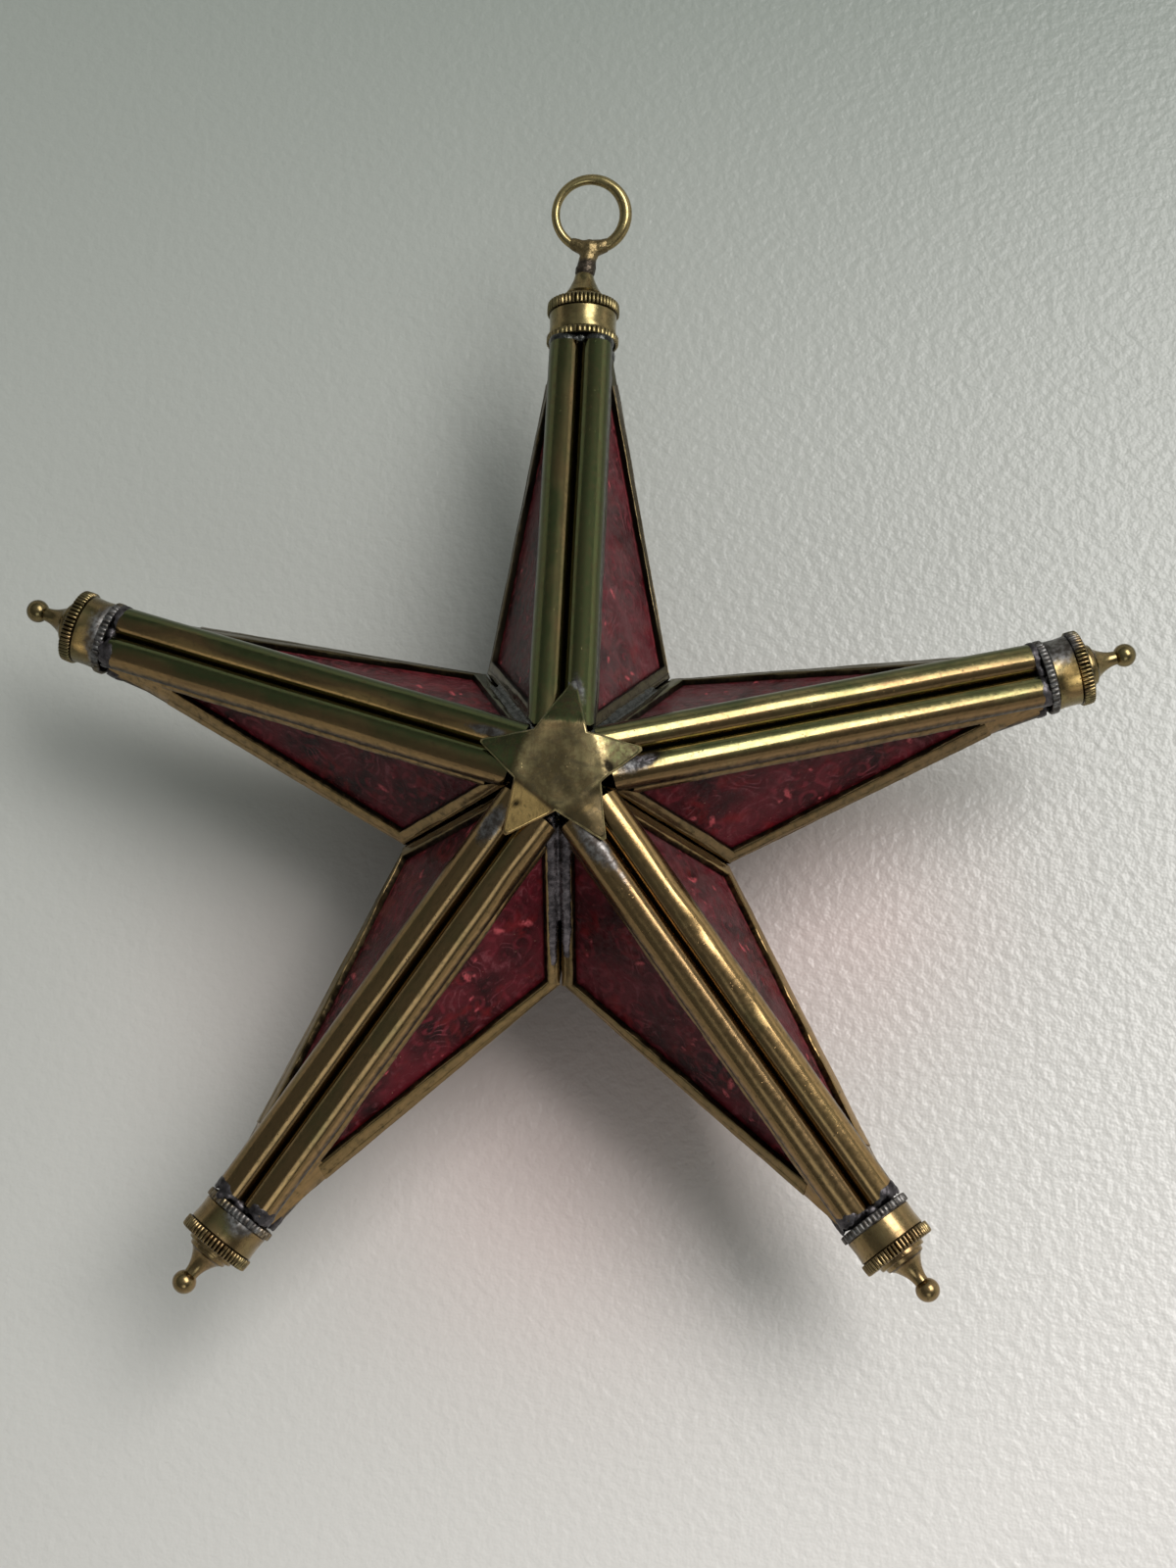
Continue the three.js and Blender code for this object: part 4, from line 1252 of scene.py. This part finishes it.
# How far the ring hangs to the right of its arm
RING_SHIFT = 0.95
TOP_MOUTH = arm_mouth(0)
RING_MIDDLE = Vector((RING_SHIFT, TOP_MOUTH + RING_START + RING_RADIUS * math.cos(RING_TILT),
                      RING_RADIUS * math.sin(RING_TILT)))


def ring_point(angle, radius, lift=0.0):
    """A point of the tilted ring; angle from its right side, counterclockwise."""
    flat = Vector((radius * math.cos(angle), radius * math.sin(angle), lift))
    return RING_MIDDLE + Matrix.Rotation(RING_TILT, 3, "X") @ flat


points = []
for n in range(RING_ROWS):
    angle = 2 * math.pi * n / RING_ROWS
    wire = 0.93 + 0.17 * math.cos(angle) + 0.03 * wobble(math.cos(angle) * 2, math.sin(angle) * 2, 3.0)
    for j in range(RING_SIDES):
        turn = 2 * math.pi * j / RING_SIDES
        radius = RING_RADIUS - 0.05 * math.cos(angle) + wire * math.cos(turn)
        points.append(ring_point(angle, radius, wire * math.sin(turn)))
faces = loops_to_faces(0, RING_ROWS, RING_SIDES)
last = (RING_ROWS - 1) * RING_SIDES
faces += [(last + j, last + (j + 1) % RING_SIDES, (j + 1) % RING_SIDES, j) for j in range(RING_SIDES)]
ring = make_object("wire_ring", points, faces, brass_cap, arm_matrix(0))
paint(ring, green=0.2, warm=0.25, aged=0.1)
settle(ring, "turned_brass", "hanging_ring")

foot = Vector((0, TOP_MOUTH + NECK_START, 0))
heel = ring_point(-math.pi / 2, RING_RADIUS)
balls = []
for n in range(12):
    t = n / 11
    size = 1.65 + 0.15 * math.sin(t * 7) if t < 0.6 else 1.55 + 0.5 * (t - 0.6)
    balls.append((tuple(foot.lerp(heel, t)), (size, 0.9, size * 0.95)))
# The solder runs up round the wire on both sides
for n in range(-6, 7):
    size = 1.7 - 0.1 * abs(n)
    balls.append((tuple(ring_point(-math.pi / 2 + n * 0.085, RING_RADIUS - 0.15)), (size, size, size * 0.95)))
neck = lumps("ring_neck", balls, solder_neck, arm_matrix(0), 0.22, 0.14, 9)
heights = np.array([v.co.y * METRE - (TOP_MOUTH + NECK_BROWN) for v in neck.data.vertices])
neck.data.attributes["warm"].data.foreach_set("value", np.clip(heights * 0.8, 0, 1.2).astype(np.float32))
settle(neck, "solder", "solder_ring_neck")

# Floor, lights and camera

TABLE_HALF, TABLE_CELLS = 1.6, 240
# Just under the star, so that the two don't share a plane
TABLE_DROP = 0.0004
# Where the table rises into a backdrop, in metres
SWEEP_START, SWEEP_WIDTH, SWEEP_HEIGHT = 0.95, 0.65, 0.52
# Ruby light that falls through the panes onto the table: place in metres, reach, strength
ROSY = ((0.000, -0.052, 0.034, 0.42), (0.045, -0.010, 0.026, 0.40), (-0.050, -0.022, 0.028, 0.12))

net = Finish("pale_table")
pebble = net.noise(net.scaled(1, 1, 1), 0.52, 2)
# The table's colour holds painted light and shade, and painted ruby light from the panes
colour = net.over(
    (0.235, 0.262, 0.238),
    (net.attribute("shade"), (0.76, 0.725, 0.705)),
    (net.attribute("rosy"), (0.70, 0.46, 0.44)),
)
pebbled = net.times(pebble, net.attribute("relief"))
net.set(Base_Color=colour, Roughness=0.34, Normal=net.bump(pebbled, 0.75, 0.0005))

bm = bmesh.new()
bmesh.ops.create_grid(bm, x_segments=TABLE_CELLS, y_segments=TABLE_CELLS, size=TABLE_HALF)
for v in bm.verts:
    v.co.z = SWEEP_HEIGHT * min(1.0, max(0.0, (v.co.xy.length - SWEEP_START) / SWEEP_WIDTH)) ** 2
floor_mesh = bpy.data.meshes.new("table_top")
bm.to_mesh(floor_mesh)
bm.free()
floor_mesh.materials.append(net.material)
floor = add_object("table_top", floor_mesh)
finish_mesh(floor, Matrix.Translation((0, 0, -TABLE_DROP)))
x, y = point_array(floor_mesh)[:, :2].T
# Painted light and shade on the table: paler towards the right and the near side, and even further out
painted_light = np.clip(0.54 - y * 2.8 + x * 1.1 - x * y * 8, 0.02, 1.0)
far = np.clip((np.hypot(x, y) - 0.25) / 0.5, 0, 1)
rosy = np.zeros(len(x))
for cx, cy, reach, strength in ROSY:
    rosy += strength * np.exp(-(((x - cx) ** 2 + (y - cy) ** 2) / reach ** 2))
write_values(
    floor_mesh,
    shade=painted_light + (0.6 - painted_light) * far * far * (3 - 2 * far),
    # The pebbled finish is worn flatter away from the right side
    relief=0.38 + 0.6 * np.exp(-(((x - 0.10) / 0.10) ** 2 + ((y + 0.03) / 0.11) ** 2)),
    rosy=rosy,
)

WINDOW_PLACE = (1.11, 0.64, 2.03)
window = bpy.data.lights.new("window", "AREA")
window.shape = "RECTANGLE"
window.size, window.size_y = 1.65, 1.12
window.energy = 47.0
window.color = (1.0, 0.985, 0.96)
light = add_object("window", window)
light.location = WINDOW_PLACE
light.rotation_euler = (-Vector(WINDOW_PLACE)).to_track_quat("-Z", "Y").to_euler()

# The room: its darkest part, and its pale parts by their way, the angles in degrees where each begins and is full,
# and its strength
ROOM_DARKEST = 0.13
ROOM = (
    ((0.0, 0.0, 1.0), 180, 0, 0.16),
    ((0.0, 0.3, 0.95), 50, 10, 0.20),
    ((0.14, -0.75, 0.65), 18, 7, 1.4),
    ((0.62, 0.42, 0.60), 52, 16, 0.30),
)
world = bpy.data.worlds.new("room")
bpy.context.scene.world = world
net = Net(world)
around = net.make("ShaderNodeTexCoord").outputs["Generated"]
parts = []
for way, begins, full, strength in ROOM:
    dot = net.make("ShaderNodeVectorMath", Vector=around)
    dot.operation = "DOT_PRODUCT"
    dot.inputs[1].default_value = Vector(way).normalized()
    part = net.make("ShaderNodeMapRange", Value=dot.outputs["Value"], From_Min=math.cos(math.radians(begins)),
                    From_Max=math.cos(math.radians(full)), To_Min=0.0 if parts else ROOM_DARKEST, To_Max=strength)
    part.interpolation_type = "SMOOTHSTEP"
    parts.append(part.outputs["Result"])
background = net.tree.nodes["Background"]
net.put(net.plus(*parts), background.inputs["Strength"])
background.inputs["Color"].default_value = (0.93, 1.0, 0.96, 1)

# The camera, fitted to the photo: its place, and its axes to the right, up and backwards
CAMERA_PLACE = (0.028762, -0.100025, 0.457971)
CAMERA_AXES = Matrix((
    (0.997831, 0.042995, -0.049849),
    (-0.029839, 0.970394, 0.239676),
    (0.058678, -0.237669, 0.969572),
))
camera_data = bpy.data.cameras.new("camera")
camera_data.sensor_width = 36
camera_data.lens = 60.75
camera_data.clip_start = 0.01
camera = add_object("camera", camera_data)
camera.matrix_world = Matrix.Translation(CAMERA_PLACE) @ CAMERA_AXES.transposed().to_4x4()
bpy.context.scene.camera = camera
bpy.context.scene.view_settings.view_transform = "Standard"
